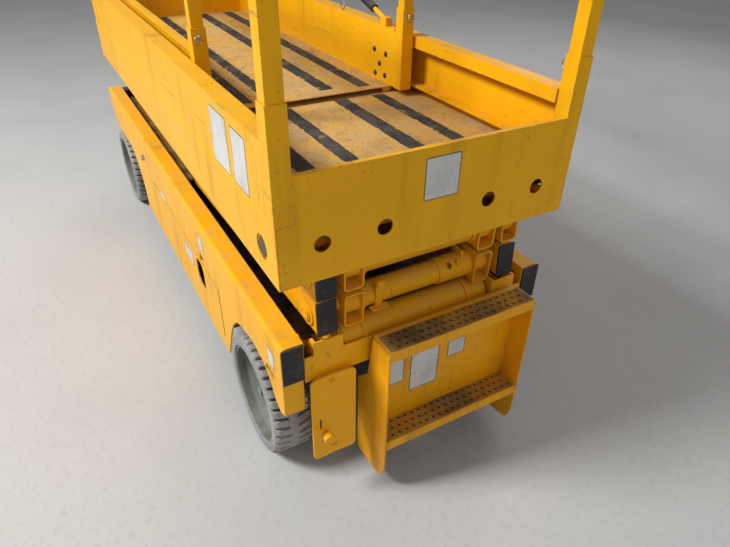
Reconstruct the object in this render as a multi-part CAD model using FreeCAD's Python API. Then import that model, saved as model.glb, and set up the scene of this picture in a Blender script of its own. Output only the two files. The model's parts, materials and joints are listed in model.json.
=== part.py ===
import FreeCAD, Part
import math
import os

# A narrow electric scissor lift: chassis on four wheels, three pairs of crossed arms, a platform
# with an extension deck, and a ladder at the rear. Millimetres, +Z up, +X towards the steered end,
# +Y to the machine's left. Every x below is measured from the platform's rear face. At the end all
# pieces are moved so that the origin lies on the ground under the middle of the whole length.

# Driving sizes: the lengths and widths of most pieces follow from these two
PLATFORM_LENGTH = 2259.0
OVERALL_WIDTH = 832.0

# How far the main groups stand in from, or out beyond, the driving sizes
CHASSIS_INSET = 10.0
PLATFORM_INSET = 11.0
CHASSIS_REAR = 32.0
CHASSIS_NOSE = 117.0

# Wheels
TYRE_RADIUS = 191.0
TYRE_WIDTH = 120.0
TYRE_SHOULDER = 12.0
TYRE_SIDES = 60
RIM_RADIUS = 152.0
RIM_WALL = 7.0
DISH_DEPTH = 52.0
DISC_THICK = 10.0
HUB_RADIUS = 46.0
REAR_WHEEL_X = 292.0
FRONT_WHEEL_BACK = 79.0
AXLE_RADIUS = 20.0
NUT_ACROSS = 46.0
NUT_HEIGHT = 22.0
RUN_FIT = 0.05

# Axle under the rear wheels
REAR_PLATE_HALF = 95.0
REAR_PLATE_LOW = 120.0
REAR_PLATE_IN = 30.0
REAR_PLATE_THICK = 15.0
REAR_TIE_Z = (150.0, 230.0)
REAR_TIE_HALF = 40.0

# Steered front wheels
KINGPIN_IN = 181.0
KINGPIN_RADIUS = 14.0
HOUSING_RADIUS = 27.0
HOUSING_BOTTOM = 130.0
HOUSING_TOP = 300.0
FRONT_BEAM_Z = (165.0, 265.0)
FRONT_BEAM_HALF = 38.0
FRONT_POST_HALF_WIDTH = 110.0
YOKE_PLATE = 12.0
YOKE_HALF = 55.0
YOKE_GAP = 7.0
YOKE_SEAT = 0.5
STEER_ARM = 90.0
STEER_ARM_THICK = 12.0
TIE_PIN_RADIUS = 9.0
TIE_ROD_RADIUS = 11.0
MOTOR_RADIUS = 62.0

# Scissor stack
ARM_SHORTER = 159.0
ARM_HEIGHT = 98.0
ARM_WALL = 5.0
ARM_CORNER = 12.0
ARM_OVERHANG = 46.0
LIFT_TURN = 56.0
LEVEL_RISE = 107.0
LEVELS = 3
PIVOT_X = 88.0
PIVOT_Z = 500.0
INNER_TUBE = 56.0
OUTER_TUBE = 55.0
ARM_SPACE = 22.0
ARM_TO_BEAM = 40.0
PIN_RADIUS = 20.0
BOSS_RADIUS = 34.0
BOSS_PROUD = 5.0
BOSS_STEP = 4.0
BOSS_STEP_RADIUS = 24.0
CROSS_TUBE_RADIUS = 33.0
FIRST_TUBE_RADIUS = 45.0
FIRST_ARM_START = 8.0
CROSS_TUBE_WALL = 6.0
COLLAR = 4.0
COLLAR_WIDTH = 12.0
TOP_END_CHAMFER = 25.0
CAP_THICK = 6.0

# Long collar and hose guide on the second inner arms' rear tube
HUB_COLLAR_WIDTH = 107.0
HUB_COLLAR_HOLE = 9.0
HOSE_GUIDE_IN = 47.0
HOSE_STRIP_WIDTH = 20.0
HOSE_FOOT_WIDTH = 50.0
HOSE_CLAMP_RADIUS = 9.0

# Rollers that carry the sliding ends, and their tracks
ROLLER_RADIUS = 28.0
ROLLER_PLAY = 2.0
ROLLER_WIDTH = 26.0
ROLLER_STANDOFF = 7.0
UPPER_ROLLER_IN = 85.0
TRACK_THICK = 5.0
TRACK_WEB = 4.0
TRACK_SPARE = 29.0
TRACK_END = 131.0
SIDE_GAP = 5.0

# Lift cylinder between the first and second inner arms
CYL_BASE_ALONG = 1430.0
CYL_BASE_OFFSET = -50.0
CYL_EYE_ALONG = 510.0
CYL_EYE_OFFSET = 48.0
CYL_BARREL_RADIUS = 52.0
CYL_ROD_RADIUS = 25.0
CYL_EYE_RADIUS = 34.0
CYL_EYE_WIDTH = 56.0
CYL_PIN_RADIUS = 17.0
CYL_EAR_THICK = 14.0
CYL_EAR_GAP = 6.0
CYL_BARREL_LENGTH = 620.0
CYL_GLAND_LENGTH = 34.0
CYL_GLAND_STEP = 5.0
CYL_BRACE_RADIUS = 28.0

# Chassis
BEAM_TOP = 563.0
BEAM_BOTTOM = 448.0
BEAM_WIDTH = 61.0
BEAM_WALL = 5.0
BEAM_CORNER = 14.0
SKIRT_THICK = 5.0
SKIRT_REAR_LOW = 326.0
SILL_LOW = 150.0
SILL_HIGH = 200.0
FLOOR_Z = 405.0
FLOOR_THICK = 6.0
FLOOR_REAR = 60.0
SKIRT_FRONT_BACK = 412.0
FRONT_CUT_RUN = 46.0
FRONT_SKIRT_LOW = 390.0
REAR_WALL_THICK = 5.0
REAR_WALL_Z = (430.0, 510.0)
BRACKET_HEAD = 42.0
BRACKET_LIP = 8.0
BRACKET_REACH = 132.0
BRACKET_OUTER_REACH = 112.0
BRACKET_PLATE = 12.0
FRONT_WALL_BACK = 34.0
FRONT_WALL_THICK = 8.0
FRONT_WALL_TOP = 560.0
FRONT_COVER = 52.0
UNDER_MEMBER = 40.0
UNDER_DEPTH = 60.0
TUNNEL_Y = 145.0
TUNNEL_LOW = 210.0
TUNNEL_THICK = 8.0
REAR_SLOT_X = (93.0, 151.0)
REAR_SLOT_Z = (411.0, 434.0)

# Swing-out trays on both sides
TRAY_REAR = 570.0
TRAY_FRONT_BACK = 730.0
TRAY_LOW = 206.0
TRAY_HIGH = 396.0
TRAY_INNER_Y = 201.0
TRAY_SKIN = 4.0
TRAY_BIN_IN = 34.0
TRAY_BIN_FRONT = 30.0
TRAY_HINGE_RADIUS = 9.0
TRAY_HINGE_BACK = 12.0
TRAY_HINGE_IN = 16.0
TRAY_GAP = 5.0
TRAY_PIN_EAR = 7.0
TRAY_PROUD = 1.0
HAND_HOLE_X = 787.0
HAND_HOLE_Z = 332.0
HAND_HOLE_LENGTH = 88.0
HAND_HOLE_HEIGHT = 104.0
HAND_HOLE_CORNER = 34.0

# Pothole guards
GUARD_REAR = 625.0
GUARD_FRONT_BACK = 23.0
GUARD_WIDTH = 140.0
GUARD_THICK = 6.0
GUARD_HINGE_Z = 186.0
GUARD_HINGE_IN = 16.0
GUARD_ROD_RADIUS = 6.0
GUARD_EAR = 12.0
GUARD_LIP = 10.0

# Platform
PANEL_BOTTOM = 754.0
SIDE_RETURN = 22.0
CREASE_Z = 906.0
CREASE_STEP = 3.0
TOE_TOP = 1073.0
TOE_LIP = 36.0
TOE_LIP_IN = 50.0
SHEET = 4.0
LEDGE_Z = 920.0
LEDGE_IN = 43.0
LEDGE_LIP = 8.0
PIN_HOLE_RADIUS = 30.0
DECK_TOP = 885.0
DECK_THICK = 4.0
END_PLATE_TOP = 1012.0
END_RIM = 14.0
END_HOLE_Z = 845.0
END_HOLE_Y_INNER = 146.0
END_HOLE_OUTER_IN = 105.0
END_HOLE_RADIUS = 20.0
SLEEVE = 44.0
SLEEVE_TOP = 1153.0
SLEEVE_WALL = 2.5
POST = 38.0
POST_WALL = 2.5
POST_SEAT = 40.0
RAIL_TOP = 1998.0
MID_RAIL_Z = 1440.0
FRONT_POST_BACK = 79.0
BEARER_REAR = 150.0
BEARER_FRONT = 1000.0

# Rear rail and entry gate
GATE_LOW = 1405.0
GATE_UNDER_RAIL = 73.0
GATE_TUBE = 30.0
GATE_HINGE_IN = 62.0
GATE_LATCH_IN = 215.0
GATE_STUB = 22.0
GATE_PIN_RADIUS = 6.0
GATE_BARREL = 40.0
GATE_LUG = 6.0
GATE_OFFSET = 13.0

# Extension deck
EXT_REAR = 735.0
EXT_FRONT_BACK = 9.0
EXT_DECK_TOP = 905.0
EXT_DECK_THICK = 4.0
EXT_SIDE_IN = 93.0
EXT_SIDE_TOP = 1084.0
EXT_FLANGE = 30.0
EXT_GUSSET = 30.0
EXT_RUNNER = 26.0
EXT_SEAT = 0.4
EXT_POST = 34.0
EXT_POST_X = 688.0
EXT_SLEEVE = 41.0
EXT_SLEEVE_WALL = 3.0
EXT_SLEEVE_TOP = 1155.0
EXT_SLEEVE_OUT = 3.0
EXT_FRONT_TOE = 1040.0

# Upper control box
CONTROL_DEPTH = 120.0
CONTROL_SLOPE = 60.0
CONTROL_UNDER_RAIL = 98.0
CONTROL_FACE = 100.0
CONTROL_FRONT = 100.0
CONTROL_SIDE_IN = 22.0
CONTROL_INNER_Y = 80.0
CONTROL_HOOK_IN = 40.0
CONTROL_STRAP = 4.7

# Ladder and rear plate
LADDER_FRONT = -76.0
LADDER_LEFT_IN = 244.0
LADDER_RIGHT_IN = 106.0
LADDER_SHEET = 5.0
LADDER_TOP = 527.0
LADDER_FOOT = 38.0
LADDER_TOE = 80.0
LADDER_TOE_TOP = 330.0
LADDER_EAR = 30.0
TREAD_LIP = 32.0
TOP_TREAD_Z = 535.0
LOW_TREAD_Z = 205.0
SERVICE_PLATE_IN = (195.0, 66.0)
SERVICE_PLATE_Z = (145.0, 445.0)
SERVICE_PLATE_X = 12.0
SERVICE_PLATE_THICK = 6.0
SERVICE_PLATE_CORNER = 16.0
SERVICE_FOLD = 3.0
SERVICE_SLOT_Z = (262.0, 297.0)
SERVICE_SLOT_WIDTH = 7.0
SERVICE_KNOB_Z = 241.0
SERVICE_KNOB_RADIUS = 15.0

V = FreeCAD.Vector
HALF_CHASSIS = OVERALL_WIDTH / 2 - CHASSIS_INSET
HALF_PLATFORM = OVERALL_WIDTH / 2 - PLATFORM_INSET
CHASSIS_FRONT = PLATFORM_LENGTH + CHASSIS_NOSE
FRONT_WHEEL_X = PLATFORM_LENGTH - FRONT_WHEEL_BACK
TYRE_OUTER_Y = OVERALL_WIDTH / 2
TYRE_INNER_Y = TYRE_OUTER_Y - TYRE_WIDTH
REAR_PLATE_Y = TYRE_INNER_Y - REAR_PLATE_IN
KINGPIN_Y = TYRE_OUTER_Y - KINGPIN_IN
BEAM_INNER_Y = HALF_CHASSIS - BEAM_WIDTH
OUTER_OUT = BEAM_INNER_Y - ARM_TO_BEAM
OUTER_FACE = OUTER_OUT - OUTER_TUBE
INNER_OUT = OUTER_FACE - ARM_SPACE
INNER_FACE = INNER_OUT - INNER_TUBE
LOWER_ROLLER_Y = OUTER_OUT + ROLLER_STANDOFF
UPPER_ROLLER_Y = HALF_PLATFORM - UPPER_ROLLER_IN
ARM_LENGTH = PLATFORM_LENGTH - ARM_SHORTER
START_ANGLE = math.degrees(math.asin(LEVEL_RISE / ARM_LENGTH))
START_REACH = ARM_LENGTH * math.cos(math.radians(START_ANGLE))
RAISED_REACH = ARM_LENGTH * math.cos(math.radians(START_ANGLE + LIFT_TURN))
FRONT_PIVOT_X = PIVOT_X + START_REACH
TOP_PIVOT_Z = PIVOT_Z + LEVELS * LEVEL_RISE
TRACK_REAR = PIVOT_X + RAISED_REACH - ROLLER_RADIUS - TRACK_SPARE
TRACK_FRONT = CHASSIS_FRONT - TRACK_END
FLOOR_TOP = FLOOR_Z + FLOOR_THICK
FRONT_WALL_X = CHASSIS_FRONT - FRONT_WALL_BACK
SKIRT_FRONT = FRONT_WHEEL_X - SKIRT_FRONT_BACK
TRAY_FRONT = FRONT_WHEEL_X - TRAY_FRONT_BACK
TRAY_OUT = HALF_CHASSIS + TRAY_PROUD
TRAY_HINGE_SWEEP = math.hypot(TRAY_HINGE_BACK, TRAY_HINGE_IN)
GUARD_FRONT = SKIRT_FRONT - GUARD_FRONT_BACK
GUARD_HINGE_Y = HALF_CHASSIS - GUARD_HINGE_IN
FRONT_POST_X = PLATFORM_LENGTH - FRONT_POST_BACK
GATE_HIGH = RAIL_TOP - GATE_UNDER_RAIL
GATE_HINGE_Y = GATE_HINGE_IN - HALF_PLATFORM
GATE_LATCH_Y = HALF_PLATFORM - GATE_LATCH_IN
EXT_FRONT = PLATFORM_LENGTH - EXT_FRONT_BACK
EXT_SIDE_Y = HALF_PLATFORM - EXT_SIDE_IN
EXT_POST_Y = EXT_SIDE_Y - EXT_SLEEVE_OUT + EXT_SLEEVE / 2
LADDER_LEFT_Y = HALF_CHASSIS - LADDER_LEFT_IN
LADDER_RIGHT_Y = LADDER_RIGHT_IN - HALF_CHASSIS
SHIFT_X = -(CHASSIS_FRONT + LADDER_FRONT) / 2


def box(x, y, z):
    """A box from three (low, high) pairs."""
    return Part.makeBox(x[1] - x[0], y[1] - y[0], z[1] - z[0], V(x[0], y[0], z[0]))


def rod_y(x, z, radius, y_from, y_to):
    """A round bar along Y."""
    return Part.makeCylinder(radius, y_to - y_from, V(x, y_from, z), V(0, 1, 0))


def rod_z(x, y, radius, z_from, z_to):
    """A round bar along Z."""
    return Part.makeCylinder(radius, z_to - z_from, V(x, y, z_from), V(0, 0, 1))


def plate_xz(points, y_from, y_to):
    """A flat plate whose outline lies in the XZ plane."""
    corners = [V(x, y_from, z) for x, z in points]
    face = Part.Face(Part.makePolygon(corners + corners[:1]))
    return face.extrude(V(0, y_to - y_from, 0))


def profile_yz(points, x_from, x_to):
    """A folded sheet or section whose outline lies in the YZ plane."""
    corners = [V(x_from, y, z) for y, z in points]
    face = Part.Face(Part.makePolygon(corners + corners[:1]))
    return face.extrude(V(x_to - x_from, 0, 0))


def join(shapes):
    """One solid from pieces that touch, with the seams between flat faces removed."""
    whole = shapes[0].multiFuse(shapes[1:]) if len(shapes) > 1 else shapes[0]
    return whole.removeSplitter()


def across(shape):
    """The same piece on the machine's other side."""
    return shape.mirror(V(0, 0, 0), V(0, 1, 0))


def both(shape):
    """The piece and its mirror image, on the left and on the right."""
    return [shape, across(shape)]


def bundle(shapes):
    """Like pieces on one body that don't touch."""
    return Part.makeCompound(shapes)


def round_edges(shape, radius, test):
    """Rounds the edges for which the test on the edge's middle point and direction holds."""
    chosen = []
    for edge in shape.Edges:
        if edge.Curve.TypeId != "Part::GeomLine":
            continue
        middle = edge.valueAt((edge.FirstParameter + edge.LastParameter) / 2)
        along = edge.tangentAt(edge.FirstParameter)
        if test(middle, along):
            chosen.append(edge)
    return shape.makeFillet(radius, chosen)


def square_tube(start, end, size, wall):
    """Outer and inner blocks of a square tube that runs along one of the axes."""
    half = size / 2
    low = [min(a, b) for a, b in zip(start, end)]
    high = [max(a, b) for a, b in zip(start, end)]
    axis = [i for i in range(3) if high[i] - low[i] > 1e-6][0]
    outer, inner = [], []
    for i in range(3):
        if i == axis:
            outer.append((low[i], high[i]))
            inner.append((low[i] + wall, high[i] - wall))
        else:
            outer.append((low[i] - half, low[i] + half))
            inner.append((low[i] - half + wall, low[i] + half - wall))
    return box(*outer), box(*inner)


def tube_frame(runs, size, wall, open_ends=()):
    """A welded frame of square tubes, hollow all through, with the named ends left open."""
    outers, inners = [], []
    for start, end in runs:
        outer, inner = square_tube(start, end, size, wall)
        outers.append(outer)
        inners.append(inner)
    half = size / 2 - wall
    for x, y, z in open_ends:
        inners.append(box((x - half, x + half), (y - half, y + half), (z - wall, z + 3 * wall)))
    return join(outers).cut(join(inners))


# Wheels

def wheel_profile(points, x):
    """A left wheel's solid turned about its axle from (radius, distance in from the outer face)."""
    corners = [V(x + r, TYRE_OUTER_Y - d, TYRE_RADIUS) for r, d in points]
    face = Part.Face(Part.makePolygon(corners + corners[:1]))
    return face.revolve(V(x, 0, TYRE_RADIUS), V(0, 1, 0), 360)


def tyre_ring(x, y, radius):
    """A regular polygon about the axle with one of its flats on the ground."""
    corner = radius / math.cos(math.pi / TYRE_SIDES)
    corners = []
    for k in range(TYRE_SIDES):
        turn = 2 * math.pi * (k + 0.5) / TYRE_SIDES
        corners.append(V(x + corner * math.cos(turn), y, TYRE_RADIUS + corner * math.sin(turn)))
    return Part.makePolygon(corners + corners[:1])


def make_tyre(x):
    """Left solid tyre with chamfered shoulders, many-sided so that it meshes lightly."""
    low = TYRE_RADIUS - TYRE_SHOULDER
    steps = [(0, low), (TYRE_SHOULDER, TYRE_RADIUS), (TYRE_WIDTH - TYRE_SHOULDER, TYRE_RADIUS),
             (TYRE_WIDTH, low)]
    rings = [tyre_ring(x, TYRE_OUTER_Y - depth, radius) for depth, radius in steps]
    body = Part.makeLoft(rings, True, True)
    return body.cut(rod_y(x, TYRE_RADIUS, RIM_RADIUS, TYRE_INNER_Y - 1, TYRE_OUTER_Y + 1))


def make_rim(x):
    """Left rim band, deep dished disc, hub boss and the castle nut on the drive shaft's end."""
    inside = RIM_RADIUS - RIM_WALL
    back = DISH_DEPTH + DISC_THICK
    nut_front = DISH_DEPTH - NUT_HEIGHT - 6
    outline = [(0, nut_front), (NUT_ACROSS / 2 - 6, nut_front), (NUT_ACROSS / 2 - 6, DISH_DEPTH - 6),
               (HUB_RADIUS, DISH_DEPTH - 6), (HUB_RADIUS + 6, DISH_DEPTH), (inside - 22, DISH_DEPTH),
               (inside, DISH_DEPTH - 20), (inside, 6), (RIM_RADIUS, 6), (RIM_RADIUS, TYRE_WIDTH - 6),
               (inside, TYRE_WIDTH - 6), (inside, back - 8), (inside - 24, back), (AXLE_RADIUS, back),
               (AXLE_RADIUS, back + 24), (0, back + 24)]
    rim = wheel_profile(outline, x)
    y_nut = TYRE_OUTER_Y - (DISH_DEPTH - 6)
    corners = []
    reach = NUT_ACROSS / 2
    for k in range(6):
        turn = math.radians(60 * k)
        corners.append(V(x + reach * math.cos(turn), y_nut, TYRE_RADIUS + reach * math.sin(turn)))
    nut = Part.Face(Part.makePolygon(corners + corners[:1])).extrude(V(0, NUT_HEIGHT - 8, 0))
    return join([rim, nut])


def hub_carrier(x, radius, y_from):
    """Round motor or brake housing in the wheel's dish, bored for the drive shaft."""
    y_to = TYRE_OUTER_Y - (DISH_DEPTH + DISC_THICK) - 4
    body = rod_y(x, TYRE_RADIUS, radius, y_from, y_to - 10)
    nose = rod_y(x, TYRE_RADIUS, radius * 0.62, y_from, y_to)
    bore = rod_y(x, TYRE_RADIUS, AXLE_RADIUS + RUN_FIT, y_to - 26, y_to + 1)
    return body.fuse(nose), bore


# Chassis

def skirt_outline():
    """Side sheet below the beam: rear corner, wheel arch, leg, sill, and the curve over the front wheel."""
    rear, wheel = CHASSIS_REAR, REAR_WHEEL_X
    low, top = SKIRT_REAR_LOW, BEAM_BOTTOM + 1
    arch = [(-197, 341), (-173, 377), (-150, 402), (-118, 418), (-60, 428), (-10, 425), (44, 413), (80, 402),
            (109, 386), (147, 350), (180, 300)]
    curve = [(-2, 200), (3, 232), (20, 276), (48, 312), (92, 350), (120, 372), (160, 386)]
    return ([(rear, top), (rear, low + 30), (rear + 10, low + 8), (rear + 30, low)] +
            [(wheel + x, z) for x, z in arch] + [(wheel + 253, SILL_LOW), (SKIRT_FRONT - 10, SILL_LOW)] +
            [(SKIRT_FRONT + x, z) for x, z in curve] +
            [(SKIRT_FRONT + 200, FRONT_SKIRT_LOW), (CHASSIS_FRONT - FRONT_CUT_RUN, FRONT_SKIRT_LOW),
             (CHASSIS_FRONT - FRONT_CUT_RUN / 3, top)])


def chassis_side():
    """Left side: box beam, skirt with its arch, and the window that the tray's door fills."""
    beam = box((CHASSIS_REAR, CHASSIS_FRONT), (BEAM_INNER_Y, HALF_CHASSIS), (BEAM_BOTTOM, BEAM_TOP))
    beam = round_edges(beam, BEAM_CORNER,
                       lambda p, t: abs(t.x) > 0.9 and p.y > HALF_CHASSIS - 1 and p.z > BEAM_TOP - 1)
    hollow = box((CHASSIS_REAR - 1, CHASSIS_FRONT + 1), (BEAM_INNER_Y + BEAM_WALL, HALF_CHASSIS - BEAM_WALL),
                 (BEAM_BOTTOM + BEAM_WALL, BEAM_TOP - BEAM_WALL))
    skirt = plate_xz(skirt_outline(), HALF_CHASSIS - SKIRT_THICK, HALF_CHASSIS)
    through = (HALF_CHASSIS - 2 * SKIRT_THICK, HALF_CHASSIS + 1)
    window = box((TRAY_REAR - TRAY_GAP, TRAY_FRONT - TRAY_HINGE_BACK + TRAY_HINGE_SWEEP + TRAY_GAP),
                 through, (TRAY_LOW - TRAY_GAP, TRAY_HIGH + TRAY_GAP))
    slot = box(REAR_SLOT_X, through, REAR_SLOT_Z)
    slot = round_edges(slot, (REAR_SLOT_Z[1] - REAR_SLOT_Z[0]) / 2 - 1, lambda p, t: abs(t.y) > 0.9)
    notch = plate_xz([(705, 425), (757, 436), (762, TRAY_HIGH + TRAY_GAP + 4)], *through)
    nose = plate_xz([(CHASSIS_FRONT - FRONT_CUT_RUN / 3, BEAM_BOTTOM - 1),
                     (CHASSIS_FRONT + 1, BEAM_BOTTOM - 1), (CHASSIS_FRONT + 1, BEAM_TOP - 30)],
                    BEAM_INNER_Y - 1, HALF_CHASSIS + 1)
    sill = box((560, SKIRT_FRONT - 12), (GUARD_HINGE_Y + 8, HALF_CHASSIS), (SILL_LOW, SILL_LOW + SKIRT_THICK))
    corner = box((CHASSIS_REAR, CHASSIS_REAR + SKIRT_THICK), (BEAM_INNER_Y + BEAM_WALL, HALF_CHASSIS),
                 (SKIRT_REAR_LOW + 14, BEAM_BOTTOM + 1))
    side = join([beam, skirt, sill, corner])
    for room in (hollow, nose, window, slot, notch):
        side = side.cut(room)
    y, z = GUARD_HINGE_Y, GUARD_HINGE_Z
    reach = GUARD_ROD_RADIUS + 6
    ears = []
    for x in (GUARD_REAR - GUARD_EAR - 1, GUARD_FRONT + 1):
        ear = box((x, x + GUARD_EAR), (y - reach, HALF_CHASSIS - 1), (SILL_LOW, z + reach))
        bore = Part.makeCylinder(GUARD_ROD_RADIUS + RUN_FIT, GUARD_EAR + 2, V(x - 1, y, z), V(1, 0, 0))
        ears.append(ear.cut(bore))
    return join([side] + ears)


def beam_plug():
    """Black plastic plug that closes the beam's rear end."""
    edge = BEAM_WALL + 0.3
    head = box((CHASSIS_REAR - 6, CHASSIS_REAR - 0.3), (BEAM_INNER_Y + 3, HALF_CHASSIS - 1),
               (BEAM_BOTTOM + 1, BEAM_TOP - 3))
    stem = box((CHASSIS_REAR - 1, CHASSIS_REAR + 18), (BEAM_INNER_Y + edge, HALF_CHASSIS - edge),
               (BEAM_BOTTOM + edge, BEAM_TOP - edge))
    return join([head, stem])


def roller_track():
    """Left channel inside the beam that the lowest roller runs in, on its long upright web."""
    gap = ROLLER_RADIUS + ROLLER_PLAY
    runs = (TRACK_REAR, TRACK_FRONT)
    pieces = [box((FLOOR_REAR, FRONT_WALL_X), (BEAM_INNER_Y - TRACK_WEB, BEAM_INNER_Y),
                  (FLOOR_TOP, PIVOT_Z + gap + TRACK_THICK))]
    for z in (PIVOT_Z + gap, PIVOT_Z - gap - TRACK_THICK):
        pieces.append(box(runs, (OUTER_OUT + SIDE_GAP, BEAM_INNER_Y), (z, z + TRACK_THICK)))
    return join(pieces)


def pivot_bracket():
    """U-shaped bracket at the chassis's rear that holds the lowest arm's pin."""
    y_in = INNER_OUT + 8
    y_out = y_in + BRACKET_PLATE
    y_end = OUTER_OUT + 14
    rear, x = CHASSIS_REAR, PIVOT_X
    top = PIVOT_Z + BRACKET_HEAD
    lip, waist = top + BRACKET_LIP, PIVOT_Z - 4
    front, outer_front = x + BRACKET_REACH, x + BRACKET_OUTER_REACH
    plate = plate_xz([(rear, FLOOR_TOP), (rear, lip), (x - 22, lip), (x - 8, top), (x + 28, top),
                      (front - 40, FLOOR_TOP + 30), (front, FLOOR_TOP)], y_in, y_out)
    outer_plate = plate_xz([(rear, FLOOR_TOP), (rear, lip), (x - 34, lip), (x + 2, waist),
                            (outer_front - 50, waist), (outer_front, FLOOR_TOP)], OUTER_OUT + 6, y_end)
    back = box((rear, rear + REAR_WALL_THICK), (y_in, y_end), (REAR_WALL_Z[0], lip))
    foot = box((FLOOR_REAR, outer_front), (y_in, y_end), (FLOOR_TOP, FLOOR_TOP + 6))
    pin = rod_y(PIVOT_X, PIVOT_Z, PIN_RADIUS, INNER_FACE + 2, y_out + 6)
    head = rod_y(PIVOT_X, PIVOT_Z, PIN_RADIUS + 8, y_out, y_out + 8)
    return join([plate, outer_plate, back, foot, pin, head])


def rear_pivot_frame():
    """Rear wall between the beams with the brackets of the lowest arms' pins."""
    wall = box((CHASSIS_REAR, CHASSIS_REAR + REAR_WALL_THICK), (-BEAM_INNER_Y, BEAM_INNER_Y), REAR_WALL_Z)
    return join([wall] + both(pivot_bracket()))


def chassis_floor():
    """Floor sheet between the beams, with the front wall and the cover strip on it."""
    span = (-BEAM_INNER_Y, BEAM_INNER_Y)
    front = (FRONT_WALL_X, FRONT_WALL_X + FRONT_WALL_THICK)
    floor = box((FLOOR_REAR, front[1]), span, (FLOOR_Z, FLOOR_TOP))
    wall = box(front, span, (FLOOR_Z, FRONT_WALL_TOP))
    cover = box((FRONT_WALL_X - FRONT_COVER, front[1]), span, (FRONT_WALL_TOP - SHEET, FRONT_WALL_TOP))
    return join([floor, wall, cover])


def chassis_underframe():
    """Two cross members under the floor and the two long plates of the tunnel between the trays."""
    rear, front = 500, SKIRT_FRONT - 8
    pieces = []
    for x in (rear, front):
        pieces.append(box((x, x + UNDER_MEMBER), (-BEAM_INNER_Y, BEAM_INNER_Y),
                          (FLOOR_Z - UNDER_DEPTH, FLOOR_Z)))
    plate = box((rear, front + UNDER_MEMBER), (TUNNEL_Y, TUNNEL_Y + TUNNEL_THICK), (TUNNEL_LOW, FLOOR_Z))
    return join(pieces + both(plate))


def rear_axle():
    """Plates under the floor with the round brake housings that carry the rear wheels."""
    x, y = REAR_WHEEL_X, REAR_PLATE_Y
    half = REAR_PLATE_HALF
    plate = plate_xz([(x - half, FLOOR_Z), (x - half, FLOOR_Z - 60), (x - half + 35, REAR_PLATE_LOW),
                      (x + half - 35, REAR_PLATE_LOW), (x + half, FLOOR_Z - 60), (x + half, FLOOR_Z)],
                     y, y + REAR_PLATE_THICK)
    housing, bore = hub_carrier(x, MOTOR_RADIUS, y + 2)
    return bundle(both(join([plate, housing]).cut(bore)))


def rear_axle_tie():
    """Box section that ties the rear axle's two plates together."""
    x, y = REAR_WHEEL_X, REAR_PLATE_Y
    return box((x - REAR_TIE_HALF, x + REAR_TIE_HALF), (-y, y), REAR_TIE_Z)


def front_axle():
    """Fixed front axle: cross beam, post up to the floor and the two kingpin housings."""
    x = FRONT_WHEEL_X
    half = FRONT_BEAM_HALF
    beam = box((x - half, x + half), (-KINGPIN_Y + 10, KINGPIN_Y - 10), FRONT_BEAM_Z)
    post = box((x - half / 3, x + half + 8), (-FRONT_POST_HALF_WIDTH, FRONT_POST_HALF_WIDTH),
               (FRONT_BEAM_Z[1] - 1, FLOOR_Z))
    housings, bores = [], []
    low, high = HOUSING_BOTTOM, HOUSING_TOP
    for y in (-KINGPIN_Y, KINGPIN_Y):
        housings.append(rod_z(x, y, HOUSING_RADIUS, low, high))
        bores.append(rod_z(x, y, KINGPIN_RADIUS + RUN_FIT, low - 1, high + 1))
    whole = join([beam, post] + housings)
    for bore in bores:
        whole = whole.cut(bore)
    return whole


def knuckle():
    """Left yoke round the kingpin housing, with its drive motor and steering arm."""
    x = FRONT_WHEEL_X
    y_plate = KINGPIN_Y + HOUSING_RADIUS + YOKE_GAP
    low = HOUSING_BOTTOM - YOKE_SEAT
    high = HOUSING_TOP + YOKE_SEAT
    plate = box((x - YOKE_HALF, x + YOKE_HALF), (y_plate, y_plate + YOKE_PLATE),
                (low - YOKE_PLATE, high + YOKE_PLATE))
    pieces = [plate]
    for z in (low - YOKE_PLATE, high):
        pieces.append(box((x - 30, x + 30), (KINGPIN_Y, y_plate + 1), (z, z + YOKE_PLATE)))
        pieces.append(rod_z(x, KINGPIN_Y, 30, z, z + YOKE_PLATE))
    pieces.append(rod_z(x, KINGPIN_Y, KINGPIN_RADIUS, low - YOKE_PLATE - 6, high + YOKE_PLATE + 6))
    z_arm = high + YOKE_PLATE - STEER_ARM_THICK
    pieces.append(box((x - STEER_ARM, x), (KINGPIN_Y - 20, KINGPIN_Y + 20), (z_arm, z_arm + STEER_ARM_THICK)))
    pieces.append(rod_z(x - STEER_ARM, KINGPIN_Y, 20, z_arm, z_arm + STEER_ARM_THICK))
    pieces.append(rod_z(x - STEER_ARM, KINGPIN_Y, TIE_PIN_RADIUS, z_arm, z_arm + STEER_ARM_THICK + 28))
    housing, bore = hub_carrier(x, MOTOR_RADIUS - 4, y_plate + 2)
    return join(pieces + [housing]).cut(bore)


def tie_rod():
    """Rod that joins the steering arms, with an eye at each end."""
    x = FRONT_WHEEL_X - STEER_ARM
    z_low = HOUSING_TOP + YOKE_SEAT + YOKE_PLATE + 1
    eyes = []
    for side in (-1, 1):
        eyes.append(rod_z(x, side * KINGPIN_Y, 19, z_low, z_low + 22))
    bar = rod_y(x, z_low + 11, TIE_ROD_RADIUS, -KINGPIN_Y, KINGPIN_Y)
    whole = join(eyes + [bar])
    for side in (-1, 1):
        whole = whole.cut(rod_z(x, side * KINGPIN_Y, TIE_PIN_RADIUS + RUN_FIT, z_low - 1, z_low + 23))
    return whole


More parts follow.
